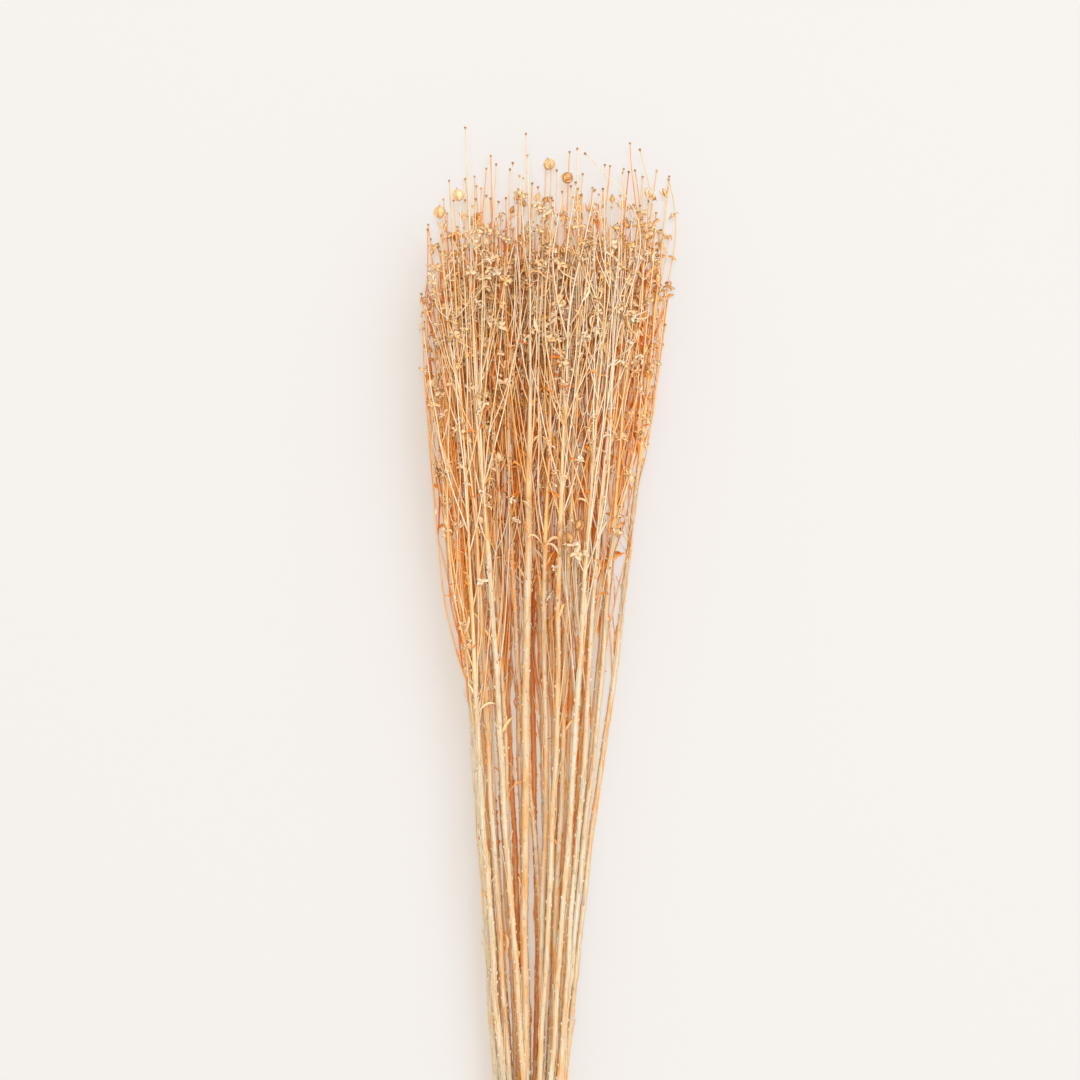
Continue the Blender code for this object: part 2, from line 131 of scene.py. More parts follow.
class Ornament(IntEnum):
    """The small shapes that repeat along the stalks and at their ends."""

    KNOB = 0
    SCAR = 1
    OPEN_STAR = 2
    LIMP_STAR = 3
    CUP = 4
    BUD = 5
    CAPSULE = 6
    CUT_END = 7
    TATTER = 8


def linear_colour(code: str) -> tuple[float, float, float, float]:
    """Turn an sRGB hex colour into linear light.

    Args:
        code: The colour, such as "#EAD0A6".

    Returns:
        Red, green, blue and alpha.
    """
    shares = [int(code[place:place + 2], 16) / 255 for place in (1, 3, 5)]
    light = [share / 12.92 if share <= 0.04045 else ((share + 0.055) / 1.055) ** 2.4 for share in shares]
    return (*light, 1.0)


def add_node(tree: bpy.types.NodeTree, kind: str, settings: dict | None = None, **links) -> bpy.types.Node:
    """Add a node to a tree, set it up and link or fill its inputs.

    Args:
        tree: The node tree.
        kind: The node's type name.
        settings: Properties of the node itself.
        **links: Input names, with underscores for spaces, and the output socket or the value for each.

    Returns:
        The new node.
    """
    node = tree.nodes.new(kind)
    for name, value in (settings or {}).items():
        setattr(node, name, value)
    for name, value in links.items():
        wanted = name.replace("_", " ")
        socket = next(one for one in node.inputs if one.enabled and one.name == wanted)
        if isinstance(value, bpy.types.NodeSocket):
            tree.links.new(value, socket)
        elif isinstance(value, list):
            for source in value:
                tree.links.new(source, socket)
        else:
            socket.default_value = value
    return node


def smooth_line(points: np.ndarray, step: float) -> np.ndarray:
    """Draw a smooth curve through points and sample it evenly.

    Args:
        points: The points, one a row.
        step: The distance between samples.

    Returns:
        The samples, one a row, with the first and the last point kept.
    """
    chords = np.linalg.norm(np.diff(points, axis=0), axis=1)
    along = np.concatenate(([0.0], np.cumsum(chords)))
    slopes = np.gradient(points, along, axis=0)
    count = max(3, round(along[-1] / step) + 1)
    wanted = np.linspace(0, along[-1], count)
    index = np.clip(np.searchsorted(along, wanted, side="right") - 1, 0, len(points) - 2)
    length = chords[index][:, None]
    t = (wanted - along[index])[:, None] / length
    start = (2 * t**3 - 3 * t**2 + 1) * points[index] + (t**3 - 2 * t**2 + t) * length * slopes[index]
    end = (3 * t**2 - 2 * t**3) * points[index + 1] + (t**3 - t**2) * length * slopes[index + 1]
    return start + end


def unit(vector: np.ndarray) -> np.ndarray:
    """The vector at length 1."""
    return vector / np.linalg.norm(vector)


def wander(chance: random.Random, count: int, size: float, waves: float) -> np.ndarray:
    """Make the slight natural wandering of a line across its length, none at its ends.

    Args:
        chance: The source of chance.
        count: The number of points.
        size: The furthest that the line strays.
        waves: About how many waves there are along the line.

    Returns:
        An offset across and up for each point, with none along the line.
    """
    t = np.linspace(0, 1, count)
    offset = np.zeros((count, 3))
    for axis in (0, 2):
        for order in WANDER_ORDERS:
            phase = chance.uniform(0, 2 * math.pi)
            offset[:, axis] += np.sin(2 * math.pi * waves * order * t + phase) / order
    return offset * (size * np.sin(math.pi * t) ** 0.7)[:, None]


@dataclass
class Line:
    """A grown line: a stem, a stalk, a fibre or a narrow leaf."""

    points: np.ndarray
    widths: np.ndarray
    tones: np.ndarray
    role: Role = Role.ROUND
    part: Part = Part.STRAW
    tilts: np.ndarray | None = None

    def place(self, share: float) -> tuple[np.ndarray, np.ndarray, float]:
        """Find a place along the line.

        Args:
            share: How far along it is, from 0 to 1.

        Returns:
            The point, the direction there and the line's half width.
        """
        index = share * (len(self.points) - 1)
        low = min(int(index), len(self.points) - 2)
        rest = index - low
        point = self.points[low] * (1 - rest) + self.points[low + 1] * rest
        width = self.widths[low] * (1 - rest) + self.widths[low + 1] * rest
        return point, unit(self.points[low + 1] - self.points[low]), width

    def length(self) -> float:
        """The line's length."""
        return float(np.linalg.norm(np.diff(self.points, axis=0), axis=1).sum())


@dataclass
class Spot:
    """The place of one ornament."""

    point: np.ndarray
    aim: np.ndarray
    size: float
    tone: float
    kind: Ornament
    roll: float


class NodeShape:
    """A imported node's corners, with the loose triangles' corners joined again.

    A capsule is a point and two rings of six corners, on a stalk with rings of three.
    """

    JOINED_WITHIN = 0.01
    STEM_SIDES = 6
    AXIS_SIDES = 4
    STALK_SIDES = 3
    CAPSULE_SIDES = 6

    def __init__(self, node: bpy.types.Object) -> None:
        """Read the node's mesh.

        Args:
            node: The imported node's object.
        """
        numbers: dict[tuple[int, ...], int] = {}
        order = []
        for vertex in node.data.vertices:
            key = tuple(round(place / MM / self.JOINED_WITHIN) for place in vertex.co)
            order.append(numbers.setdefault(key, len(numbers)))
        self.corners = np.array(list(numbers)) * self.JOINED_WITHIN
        self.triangles: list[tuple[int, ...]] = []
        self.near: list[set[int]] = [set() for corner in self.corners]
        for polygon in node.data.polygons:
            triangle = tuple(order[index] for index in polygon.vertices)
            self.triangles.append(triangle)
            for corner in triangle:
                self.near[corner].update(other for other in triangle if other != corner)

    def level_rings(self, size: int) -> list[tuple[np.ndarray, float]]:
        """Find the rings that are square to the bunch.

        Args:
            size: The number of corners that a ring has.

        Returns:
            The centre and the radius of each ring, from the cut ends to the tips.
        """
        levels: dict[int, list[int]] = {}
        for index, corner in enumerate(self.corners):
            levels.setdefault(round(corner[1] / self.JOINED_WITHIN), []).append(index)
        rings = []
        for level in sorted(levels):
            if len(levels[level]) == size:
                ring = self.corners[levels[level]]
                centre = ring.mean(axis=0)
                rings.append((centre, float(np.linalg.norm(ring - centre, axis=1).mean())))
        return rings

    def peel(self, start: set[int]) -> list[set[int]]:
        """Follow a stalk from its end towards its root.

        Args:
            start: The corners at the stalk's end.

        Returns:
            The rings of corners, as long as they have a stalk's or a capsule's number of sides.
        """
        rings = [start]
        seen = set(start)
        while True:
            following = set().union(*(self.near[corner] for corner in rings[-1])) - seen
            if len(following) not in (self.STALK_SIDES, self.CAPSULE_SIDES):
                return rings
            rings.append(following)
            seen |= following

    def stalks(self) -> list[list[set[int]]]:
        """Find the side stalks.

        Returns:
            The rings of corners of each, from its end to its root.
        """
        found = []
        for triangle in self.triangles:
            outside = set().union(*(self.near[corner] for corner in triangle)) - set(triangle)
            if len(outside) == self.STALK_SIDES:
                found.append(self.peel(set(triangle)))
        capsule = [1, self.CAPSULE_SIDES, self.CAPSULE_SIDES, self.STALK_SIDES]
        for corner, near in enumerate(self.near):
            if len(near) == self.CAPSULE_SIDES:
                rings = self.peel({corner})
                if [len(ring) for ring in rings[:len(capsule)]] == capsule:
                    found.append(rings)
        return found


@dataclass
class Plant:
    """The lines of one plant, as its solids give them, and how pale its straw is."""

    number: int
    stem: np.ndarray
    stem_radii: np.ndarray
    axis: np.ndarray
    axis_ends_in_capsule: bool
    stalks: list[tuple[np.ndarray, Ornament]]
    tone: float = 0.5

    WIDE_END = 1.6
    KNOB_WIDTH = 0.7

    # The number of a stalk's last ring that belongs to what it ends in
    LAST_OF_END = {Ornament.KNOB: 0, Ornament.CUP: 1, Ornament.CAPSULE: 2}

    @classmethod
    def read(cls, number: int, nodes: dict[str, bpy.types.Object]) -> Plant:
        """Read a plant from its stem's node and its seed head's node.

        Args:
            number: The plant's number, from 1.
            nodes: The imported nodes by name.

        Returns:
            The plant.
        """
        stem = NodeShape(nodes[f"stem_{number:02d}"]).level_rings(NodeShape.STEM_SIDES)
        head = NodeShape(nodes[f"seed_head_{number:02d}"])
        axis = head.level_rings(NodeShape.AXIS_SIDES)
        bare_tip = axis[-1][1] < cls.KNOB_WIDTH
        stalks = []
        for rings in head.stalks():
            chain = [head.corners[sorted(ring)] for ring in rings]
            centres = [ring.mean(axis=0) for ring in chain]
            if len(chain[0]) == 1:
                kind = Ornament.CAPSULE
            elif np.linalg.norm(chain[0] - centres[0], axis=1).mean() > cls.WIDE_END:
                kind = Ornament.CUP
            else:
                kind = Ornament.KNOB
            stalks.append((np.array(centres[:cls.LAST_OF_END[kind]:-1]), kind))
        stalks.sort(key=lambda stalk: (round(float(stalk[0][0][1]), 1), round(float(stalk[0][0][0]), 1)))
        centres = [centre for centre, radius in axis]
        return cls(
            number=number,
            stem=np.array([centre for centre, radius in stem]),
            stem_radii=np.array([radius for centre, radius in stem]),
            axis=np.array(centres if bare_tip else centres[:-1]),
            axis_ends_in_capsule=bare_tip,
            stalks=stalks,
        )


def relaxed(points: np.ndarray, rounds: int = 5) -> np.ndarray:
    """Take the small wriggles out of a line, as a dry stalk has none.

    Args:
        points: The line's points.
        rounds: How often each point moves between its neighbours.

    Returns:
        The points, with the ends where they were.
    """
    eased = points.copy()
    for turn in range(rounds):
        eased[1:-1] = 0.5 * eased[1:-1] + 0.25 * (eased[:-2] + eased[2:])
    return eased


class Outline:
    """How far the bunch reaches to each side and up, along its length."""

    STEP = 12
    START = -300
    END = 300
    EDGE_WIDTH = 12.0

    # How far up the dense part of the head reaches in its middle, and how much less at its sides
    CROWN = 250.0
    CROWN_FALL = 34.0

    # Its humps and its notch: place across the bunch, height and spread
    CROWN_HUMPS = ((20.0, 14.0, 9.0), (3.0, -44.0, 4.5), (-22.0, 8.0, 8.0))

    def __init__(self, plants: list[Plant]) -> None:
        """Measure the bunch.

        Args:
            plants: All its plants.
        """
        count = (self.END - self.START) // self.STEP + 1
        self.places = self.START + self.STEP * np.arange(count)
        self.low = np.full((count, 3), np.inf)
        self.high = np.full((count, 3), -np.inf)
        for plant in plants:
            courses = [plant.stem, plant.axis] + [course for course, end in plant.stalks]
            for course in courses:
                for point in smooth_line(course, self.STEP / 3):
                    index = int(np.clip((point[1] - self.START) // self.STEP, 0, count - 2))
                    for place in (index, index + 1):
                        self.low[place] = np.minimum(self.low[place], point)
                        self.high[place] = np.maximum(self.high[place], point)
        filled = np.isfinite(self.low[:, 0])
        self.places = self.places[filled]
        self.low = self.low[filled]
        self.high = self.high[filled]

    def hold(self, points: np.ndarray, room: float) -> np.ndarray:
        """Keep points inside the bunch.

        Args:
            points: The points, one a row.
            room: How far they stay above the table and inside the outline.

        Returns:
            The points, with those that strayed brought back.
        """
        held = points.copy()
        y = points[:, 1]
        for axis in (0, 2):
            low = np.interp(y, self.places, self.low[:, axis]) + room * (axis == 0)
            high = np.interp(y, self.places, self.high[:, axis]) - room * (axis == 0)
            low = np.full(len(y), room) if axis == 2 else low
            held[:, axis] = np.clip(points[:, axis], low, np.maximum(low, high))
        return held

    def depth(self, point: np.ndarray) -> float:
        """How high a point is in the bunch, from 0 on the table to 1 at its top."""
        top = np.interp(point[1], self.places, self.high[:, 2])
        return float(np.clip(point[2] / top, 0, 1))

    def crown(self, point: np.ndarray) -> float:
        """Find how far up the dense part of the head reaches: furthest in its middle.

        Args:
            point: The point that it is above.

        Returns:
            Its height along the bunch.
        """
        reach = self.CROWN - self.CROWN_FALL * (point[0] / self.high[:, 0].max()) ** 2
        for place, height, spread in self.CROWN_HUMPS:
            reach += height * math.exp(-(((point[0] - place) / spread) ** 2))
        return reach

    def side_room(self, point: np.ndarray) -> tuple[float, float]:
        """Find how far it is from a point to the bunch's sides.

        Args:
            point: The point.

        Returns:
            The distances to the left and to the right side.
        """
        left = np.interp(point[1], self.places, self.low[:, 0])
        right = np.interp(point[1], self.places, self.high[:, 0])
        return float(point[0] - left), float(right - point[0])

    def edge(self, point: np.ndarray) -> float:
        """How near a point is to the bunch's left or right side, from 0 inside to 1 on the side."""
        return 1 - min(max(min(self.side_room(point)), 0) / self.EDGE_WIDTH, 1)


@dataclass(frozen=True)
class Straw:
    """Bleached flax straw: the bare, retted stalk of the plant, dried in the air.

    Bleaching leaves it cream, with amber streaks along the fibres; the tone that each piece carries is also
    darker deep in the bunch and paler on top and at its sides, as painted shade and painted light. The thin
    waxy skin gives a faint satin gloss, and the fibres under it show as fine lines along the stalk.
    """

    name: str
    stops: tuple[tuple[float, str], ...]
    roughness: float = 0.52

    # Real bundles of fibres are 0.1 to 0.2 mm wide, too fine to show, so they are drawn coarser
    fibre_spacing: float = 0.6
    fibre_length: float = 12.0

    # Bleaching leaves patches about as wide as a stem, and ten times as long
    patch_width: float = 2.4
    patch_length: float = 26.0

    # How far both change the tone, and how high the fibres stand
    streaks: float = 0.8
    patches: float = 0.7
    fibre_relief: float = 0.08

    CELLULOSE_IOR = 1.47
    FIBRE_DETAIL = 2.0
    PATCH_DETAIL = 1.0
    RELIEF_STRENGTH = 0.7

    def material(self) -> bpy.types.Material:
        """Make the finish's material.

        Returns:
            The material.
        """
        material = bpy.data.materials.new(self.name)
        material.use_nodes = True
        tree = material.node_tree
        shader = tree.nodes["Principled BSDF"]
        shader.inputs["Roughness"].default_value = self.roughness
        shader.inputs["IOR"].default_value = self.CELLULOSE_IOR
        fibres = self.stretched_noise(tree, self.fibre_spacing, self.fibre_length, self.FIBRE_DETAIL)
        patches = self.stretched_noise(tree, self.patch_width, self.patch_length, self.PATCH_DETAIL)
        tone = add_node(tree, "ShaderNodeAttribute", {"attribute_name": "tone"}).outputs["Fac"]
        tint = add_node(tree, "ShaderNodeAttribute", {"attribute_name": "tint"}).outputs["Fac"]
        total = add_node(tree, "ShaderNodeMath", {"operation": "ADD"})
        tree.links.new(tone, total.inputs[0])
        tree.links.new(tint, total.inputs[1])
        for source, size in ((fibres, self.streaks), (patches, self.patches)):
            centred = add_node(tree, "ShaderNodeMath", {"operation": "MULTIPLY_ADD"})
            tree.links.new(source, centred.inputs[0])
            centred.inputs[1].default_value = size
            centred.inputs[2].default_value = -size / 2
            added = add_node(tree, "ShaderNodeMath", {"operation": "ADD"})
            tree.links.new(total.outputs[0], added.inputs[0])
            tree.links.new(centred.outputs[0], added.inputs[1])
            total = added
        ramp = add_node(tree, "ShaderNodeValToRGB", Fac=total.outputs[0])
        band = ramp.color_ramp
        while len(band.elements) < len(self.stops):
            band.elements.new(1.0)
        for element, (position, code) in zip(band.elements, self.stops):
            element.position = position
            element.color = linear_colour(code)
        tree.links.new(ramp.outputs["Color"], shader.inputs["Base Color"])
        lift = self.fibre_relief * MM
        strength = self.RELIEF_STRENGTH
        relief = add_node(tree, "ShaderNodeBump", Strength=strength, Distance=lift, Height=fibres)
        tree.links.new(relief.outputs["Normal"], shader.inputs["Normal"])
        return material

    @staticmethod
    def stretched_noise(
        tree: bpy.types.NodeTree, width: float, length: float, detail: float
    ) -> bpy.types.NodeSocket:
        """Add noise that is drawn out along the bunch.

        Args:
            tree: The material's tree.
            width: The size of its grains across the bunch.
            length: Their size along it.
            detail: How many finer layers it has.

        Returns:
            The socket with its strength.
        """
        place = add_node(tree, "ShaderNodeTexCoord").outputs["Object"]
        scale = (1 / (width * MM), 1 / (length * MM), 1 / (width * MM))
        stretched = add_node(tree, "ShaderNodeMapping", Vector=place, Scale=scale)
        grain = add_node(tree, "ShaderNodeTexNoise", Vector=stretched.outputs[0], Scale=1.0, Detail=detail)
        return grain.outputs["Fac"]


# The colours of each finish, from a stalk's darkest tone to its palest; the dark amber end is also the colour
# of the painted shade deep in the bunch
STEM_STOPS = ((0.0, "#DC7E2A"), (0.25, "#E3A056"), (0.5, "#DBB484"), (0.75, "#D6C09C"), (1.0, "#D9CCB2"))
STALK_STOPS = ((0.0, "#EC7A0E"), (0.25, "#F39C34"), (0.5, "#F1BA70"), (0.75, "#ECCA98"), (1.0, "#EAD9BC"))
PAPER_STOPS = ((0.0, "#E47414"), (0.25, "#F4A84E"), (0.5, "#FACA8E"), (0.75, "#FAD6A6"), (1.0, "#F8E0C0"))
SEED_STOPS = ((0.0, "#7E5434"), (0.25, "#B07A48"), (0.5, "#D8A468"), (0.75, "#E8C692"), (1.0, "#F0DFBC"))


@dataclass(frozen=True)
class Latex:
    """Plain natural rubber, cut from an extruded tube: tan, matt and faintly dusty."""

    name: str = "natural_rubber"
    colour: str = "#C39B69"
    dusty: str = "#D2B288"
    roughness: float = 0.62

    # Real dust is too fine to show, so its speckles are drawn coarser
    speckle: float = 1.1
    speckle_detail: float = 4.0
    relief: float = 0.05
    relief_strength: float = 0.4

    RUBBER_IOR = 1.52

    def material(self) -> bpy.types.Material:
        """Make the finish's material.

        Returns:
            The material.
        """
        material = bpy.data.materials.new(self.name)
        material.use_nodes = True
        tree = material.node_tree
        shader = tree.nodes["Principled BSDF"]
        shader.inputs["Roughness"].default_value = self.roughness
        shader.inputs["IOR"].default_value = self.RUBBER_IOR
        place = add_node(tree, "ShaderNodeTexCoord").outputs["Object"]
        scale = 1 / (self.speckle * MM)
        dust = add_node(tree, "ShaderNodeTexNoise", Vector=place, Scale=scale, Detail=self.speckle_detail)
        colour = add_node(tree, "ShaderNodeMix", {"data_type": "RGBA"})
        tree.links.new(dust.outputs["Fac"], colour.inputs["Factor"])
        ends = [socket for socket in colour.inputs if socket.type == "RGBA"]
        ends[0].default_value = linear_colour(self.colour)
        ends[1].default_value = linear_colour(self.dusty)
        result = next(socket for socket in colour.outputs if socket.type == "RGBA")
        tree.links.new(result, shader.inputs["Base Color"])
        relief = add_node(
            tree,
            "ShaderNodeBump",
            Strength=self.relief_strength,
            Distance=self.relief * MM,
            Height=dust.outputs["Fac"],
        )
        tree.links.new(relief.outputs["Normal"], shader.inputs["Normal"])
        return material


@dataclass(frozen=True)
class Paper:
    """A matt sheet to lie on, lit faintly from below as on a light table: its own warm glow lifts the shade
    round and between the stems, and its cool base colour keeps the sheet off-white.
    """

    name: str = "off_white_sheet"
    colour: str = "#A0ABB4"
    roughness: float = 0.9
    specular: float = 0.2
    # The sheet's own warm glow, which lifts the shade round and between the stems
    glow: str = "#FFDFBC"
    glow_strength: float = 0.41

    def material(self) -> bpy.types.Material:
        """Make the finish's material.

        Returns:
            The material.
        """
        material = bpy.data.materials.new(self.name)
        material.use_nodes = True
        shader = material.node_tree.nodes["Principled BSDF"]
        shader.inputs["Base Color"].default_value = linear_colour(self.colour)
        shader.inputs["Roughness"].default_value = self.roughness
        shader.inputs["Specular IOR Level"].default_value = self.specular
        shader.inputs["Emission Color"].default_value = linear_colour(self.glow)
        shader.inputs["Emission Strength"].default_value = self.glow_strength
        return material


class Shape:
    """A small closed shape that ornaments are made of, in millimetres, with a tint for each corner."""

    FOLDS = 0.55
    SEGMENTS = 5
    # Painted shade: how much darker the seams between the segments of a capsule or a bud are
    SEAM_PAINTED_SHADE = 0.25
    SEPAL_STATIONS = 5
    SEPAL_THICKNESS = 0.13
    SEPAL_ROOT = 0.3
    SEPAL_TIP_TINT = -0.12

    def __init__(self) -> None:
        """Start with no faces."""
        self.corners: list[Vector] = []
        self.tints: list[float] = []
        self.faces: list[tuple[int, ...]] = []
        self.parts: list[Part] = []

    def turn(
        self, profile: list[tuple[float, float, float]], sides: int, part: Part, ridges: float = 0.0
    ) -> None:
        """Add a turned body along +Z.

        Args:
            profile: Radius, height and tint of each ring. The first and the last have no radius.
            sides: The number of sides.
            part: The finish that it takes.
            ridges: How deep the five seams between its segments are, as a share of the radius.
        """
        first = len(self.corners)
        rings = []
        for radius, height, tint in profile:
            if radius == 0:
                self.corners.append(Vector((0, 0, height)))
                self.tints.append(tint)
                rings.append([len(self.corners) - 1] * sides)
                continue
            ring = []
            for side in range(sides):
                angle = 2 * math.pi * side / sides
                seam = 1 - ridges * (0.5 + 0.5 * math.cos(self.SEGMENTS * angle)) ** 3
                reach = radius * seam
                self.corners.append(Vector((math.cos(angle) * reach, math.sin(angle) * reach, height)))
                # Painted shade in the seams
                self.tints.append(tint - self.SEAM_PAINTED_SHADE * (1 - seam) / ridges if ridges else tint)
                ring.append(len(self.corners) - 1)
            rings.append(ring)
        self.skin(rings)
        self.parts += [part] * (len(self.corners) - first)

    def skin(self, rings: list[list[int]]) -> None:
        """Join rings of corners with faces.

        Args:
            rings: The corners' numbers, ring by ring. One number, repeated, is a point.
        """
        for lower, upper in zip(rings, rings[1:]):
            for side in range(len(lower)):
                after = (side + 1) % len(lower)
                face = dict.fromkeys((lower[side], lower[after], upper[after], upper[side]))
                self.faces.append(tuple(face))

    def sepal(
        self, round_angle: float, length: float, width: float, leans: tuple[float, float, float]
    ) -> None:
        """Add a thin pointed leaf that leaves the origin.

        Args:
            round_angle: The direction that it leaves in, round +Z.
            length: Its length.
            width: Its greatest width.
            leans: Its lean away from +Z at the base, the middle and the tip. It twists a little on its way.
        """
        stations = self.SEPAL_STATIONS
        thickness = self.SEPAL_THICKNESS
        first = len(self.corners)
        outward = Vector((math.cos(round_angle), math.sin(round_angle), 0))
        side = Vector((-math.sin(round_angle), math.cos(round_angle), 0))
        point = outward * self.SEPAL_ROOT
        rings = []
        for station in range(stations):
            t = station / (stations - 1)
            lean = leans[0] * (1 - t) ** 2 + leans[1] * 2 * t * (1 - t) + leans[2] * t**2
            along = outward * math.sin(lean) + Vector((0, 0, math.cos(lean)))
            normal = outward * math.cos(lean) - Vector((0, 0, math.sin(lean)))
            if station == stations - 1:
                self.corners.append(point.copy())
                rings.append([len(self.corners) - 1] * 4)
                self.tints.append(self.SEPAL_TIP_TINT)
                break
            half = width / 2 * (0.45 + 1.5 * t - 1.75 * t**2)
            cup = 0.5 * half
            low = normal * -cup
            ring = []
            for offset in (side * half + low, normal * thickness, low - side * half, normal * -thickness):
                self.corners.append(point + offset)
                self.tints.append(0.06 - 0.1 * t)
                ring.append(len(self.corners) - 1)
            rings.append(ring)
            point = point + along * (length / (stations - 1))
        self.faces.append(tuple(rings[0]))
        self.skin(rings)
        self.parts += [Part.PAPER] * (len(self.corners) - first)

    def crumple(self, depth: float) -> None:
        """Fold the shape's papery parts a little, more towards their tips.

        Args:
            depth: How far a fold moves a point, as a share of its distance from the base.
        """
        for corner, part in zip(self.corners, self.parts):
            if part == Part.PAPER:
                corner += noise.noise_vector(corner * self.FOLDS) * corner.length * depth

    def mesh(self, name: str) -> bpy.types.Mesh:
        """Make the shape's mesh.

        Args:
            name: The mesh's name.

        Returns:
            The mesh, in metres, with its tints and parts as attributes.
        """
        data = bpy.data.meshes.new(name)
        data.from_pydata([corner * MM for corner in self.corners], [], self.faces)
        tints = data.attributes.new("tint", "FLOAT", "POINT")
        tints.data.foreach_set("value", self.tints)
        parts = data.attributes.new("shape_part", "INT", "POINT")
        parts.data.foreach_set("value", [int(part) for part in self.parts])
        data.validate()
        return data


class OrnamentShapes:
    """The templates of the ornaments, which are copied along the stalks and then taken away."""

    SEPALS = 5

    def __init__(self) -> None:
        """Make a template for each ornament."""
        self.chance = random.Random(SEED)
        noise.seed_set(FOLD_SEED)
        self.collection = bpy.data.collections.new("ornaments")
        makers = {
            Ornament.KNOB: self.knob,
            Ornament.SCAR: self.scar,
            Ornament.OPEN_STAR: lambda: self.star(5, 5.0, 3.0, (0.7, 1.4, 2.4), 0.9),
            Ornament.LIMP_STAR: lambda: self.star(3, 6.8, 3.8, (0.9, 2.2, 3.1), 1.0),
            Ornament.CUP: lambda: self.star(5, 5.4, 2.9, (0.75, 0.35, -0.1), 0.2),
            Ornament.BUD: self.bud,
            Ornament.CAPSULE: self.capsule,
            Ornament.CUT_END: self.cut_end,
            Ornament.TATTER: lambda: self.star(5, 5.6, 4.6, (1.0, 2.0, 3.3), 1.3),
        }
        for kind in Ornament:
            template = bpy.data.objects.new(f"ornament_{kind.value}", makers[kind]().mesh(kind.name.lower()))
            self.collection.objects.link(template)

    def knob(self) -> Shape:
        """Make the flared end that a capsule has dropped from.

        Returns:
            The shape.
        """
        shape = Shape()
        profile = [(0, -0.4, 0.1), (0.24, -0.2, 0.1), (0.3, 0.4, 0.0), (0.58, 0.95, -0.2)]
        profile += [(0.74, 1.35, -0.3), (0.62, 1.75, -0.32), (0, 1.95, -0.45)]
        shape.turn(profile, 6, Part.SEED)
        return shape

    def scar(self) -> Shape:
        """Make the raised scale that a leaf has dropped from. It leans towards its own +X.

        Returns:
            The shape.
        """
        shape = Shape()
        profile = [(0, -0.35, 0.0), (0.42, -0.1, 0.0), (0.3, 0.26, 0.08), (0, 0.4, 0.14)]
        shape.turn(profile, 5, Part.STRAW)
        for corner in shape.corners:
            corner.y *= 0.8
            corner.x = corner.x * 1.8 + max(corner.z, 0) * 1.3
        return shape

    def star(
        self, sepals: int, length: float, width: float, leans: tuple[float, float, float], mess: float
    ) -> Shape:
        """The papery sepals that stay at a stalk's end.

        Args:
            sepals: How many are left.
            length: A sepal's length.
            width: A sepal's width.
            leans: How the sepals lean away from the stalk at the base, the middle and the tip.
            mess: How much the sepals differ from each other.

        Returns:
            The shape.
        """
        shape = Shape()
        profile = [(0, -0.4, -0.1), (0.28, -0.2, -0.1), (0.5, 0.3, -0.1), (0.55, 0.7, -0.1), (0, 0.9, -0.2)]
        shape.turn(profile, 6, Part.STRAW)
        for index in range(sepals):
            angle = 2 * math.pi * (index + self.chance.uniform(-0.3, 0.3) * mess) / sepals
            bent = tuple(lean + self.chance.uniform(-0.8, 0.8) * mess for lean in leans)
            spread = self.chance.uniform(1 - 0.45 * mess, 1.1)
            shape.sepal(angle, length * spread, width * self.chance.uniform(0.6, 1.1), bent)
        shape.crumple(0.45 * mess)
        return shape

    def bud(self) -> Shape:
        """Make a small seedless capsule, closed in its sepals.

        Returns:
            The shape.
        """
        shape = Shape()
        profile = [(0, -0.4, 0), (0.28, -0.2, 0), (1.0, 0.6, 0), (1.55, 1.8, 0.05), (1.3, 3.0, 0)]
        profile += [(0.45, 4.1, -0.1), (0, 4.9, -0.2)]
        shape.turn(profile, 8, Part.SEED, ridges=0.1)
        for index in range(self.SEPALS):
            shape.sepal(2 * math.pi * index / self.SEPALS, 3.4, 1.3, (1.3, 0.35, 0.4))
        return shape

    def capsule(self) -> Shape:
        """Make a ripe seed capsule: a globe of five segments with a short point.

        Returns:
            The shape.
        """
        shape = Shape()
        profile = [(0, -0.5, 0), (0.32, -0.3, 0), (1.7, 0.3, 0), (2.95, 1.4, 0.03), (3.4, 2.9, 0.05)]
        profile += [(3.0, 4.4, 0.03), (1.8, 5.5, -0.02), (0.5, 6.1, -0.12), (0, 7.1, -0.3)]
        shape.turn(profile, 15, Part.SEED, ridges=0.07)
        for index in range(self.SEPALS):
            angle = 2 * math.pi * (index + 0.3) / self.SEPALS
            shape.sepal(angle, 4.6, 1.9, (1.45, 0.75, 0.2 + self.chance.uniform(-0.3, 0.5)))
        shape.crumple(0.15)
        return shape

    def cut_end(self) -> Shape:
        """Make a stem's cut face, of radius 1, with the sunken pith in its middle, tinted darker down into
        the pith as painted shade.

        Returns:
            The shape.
        """
        shape = Shape()
        profile = [(0, -1.6, -0.5), (0.8, -1.5, -0.2), (0.99, -0.05, 0.1), (0.9, 0.12, 0.15)]
        # The rings down into the sunken pith are darker: painted shade in the hollow
        profile += [(0.5, 0.1, 0.05), (0.36, -0.15, -0.35), (0, -0.5, -0.6)]
        shape.turn(profile, 10, Part.STRAW)
        return shape

    def discard(self) -> None:
        """Take the templates away again."""
        for template in list(self.collection.objects):
            bpy.data.objects.remove(template)
        bpy.data.collections.remove(self.collection)


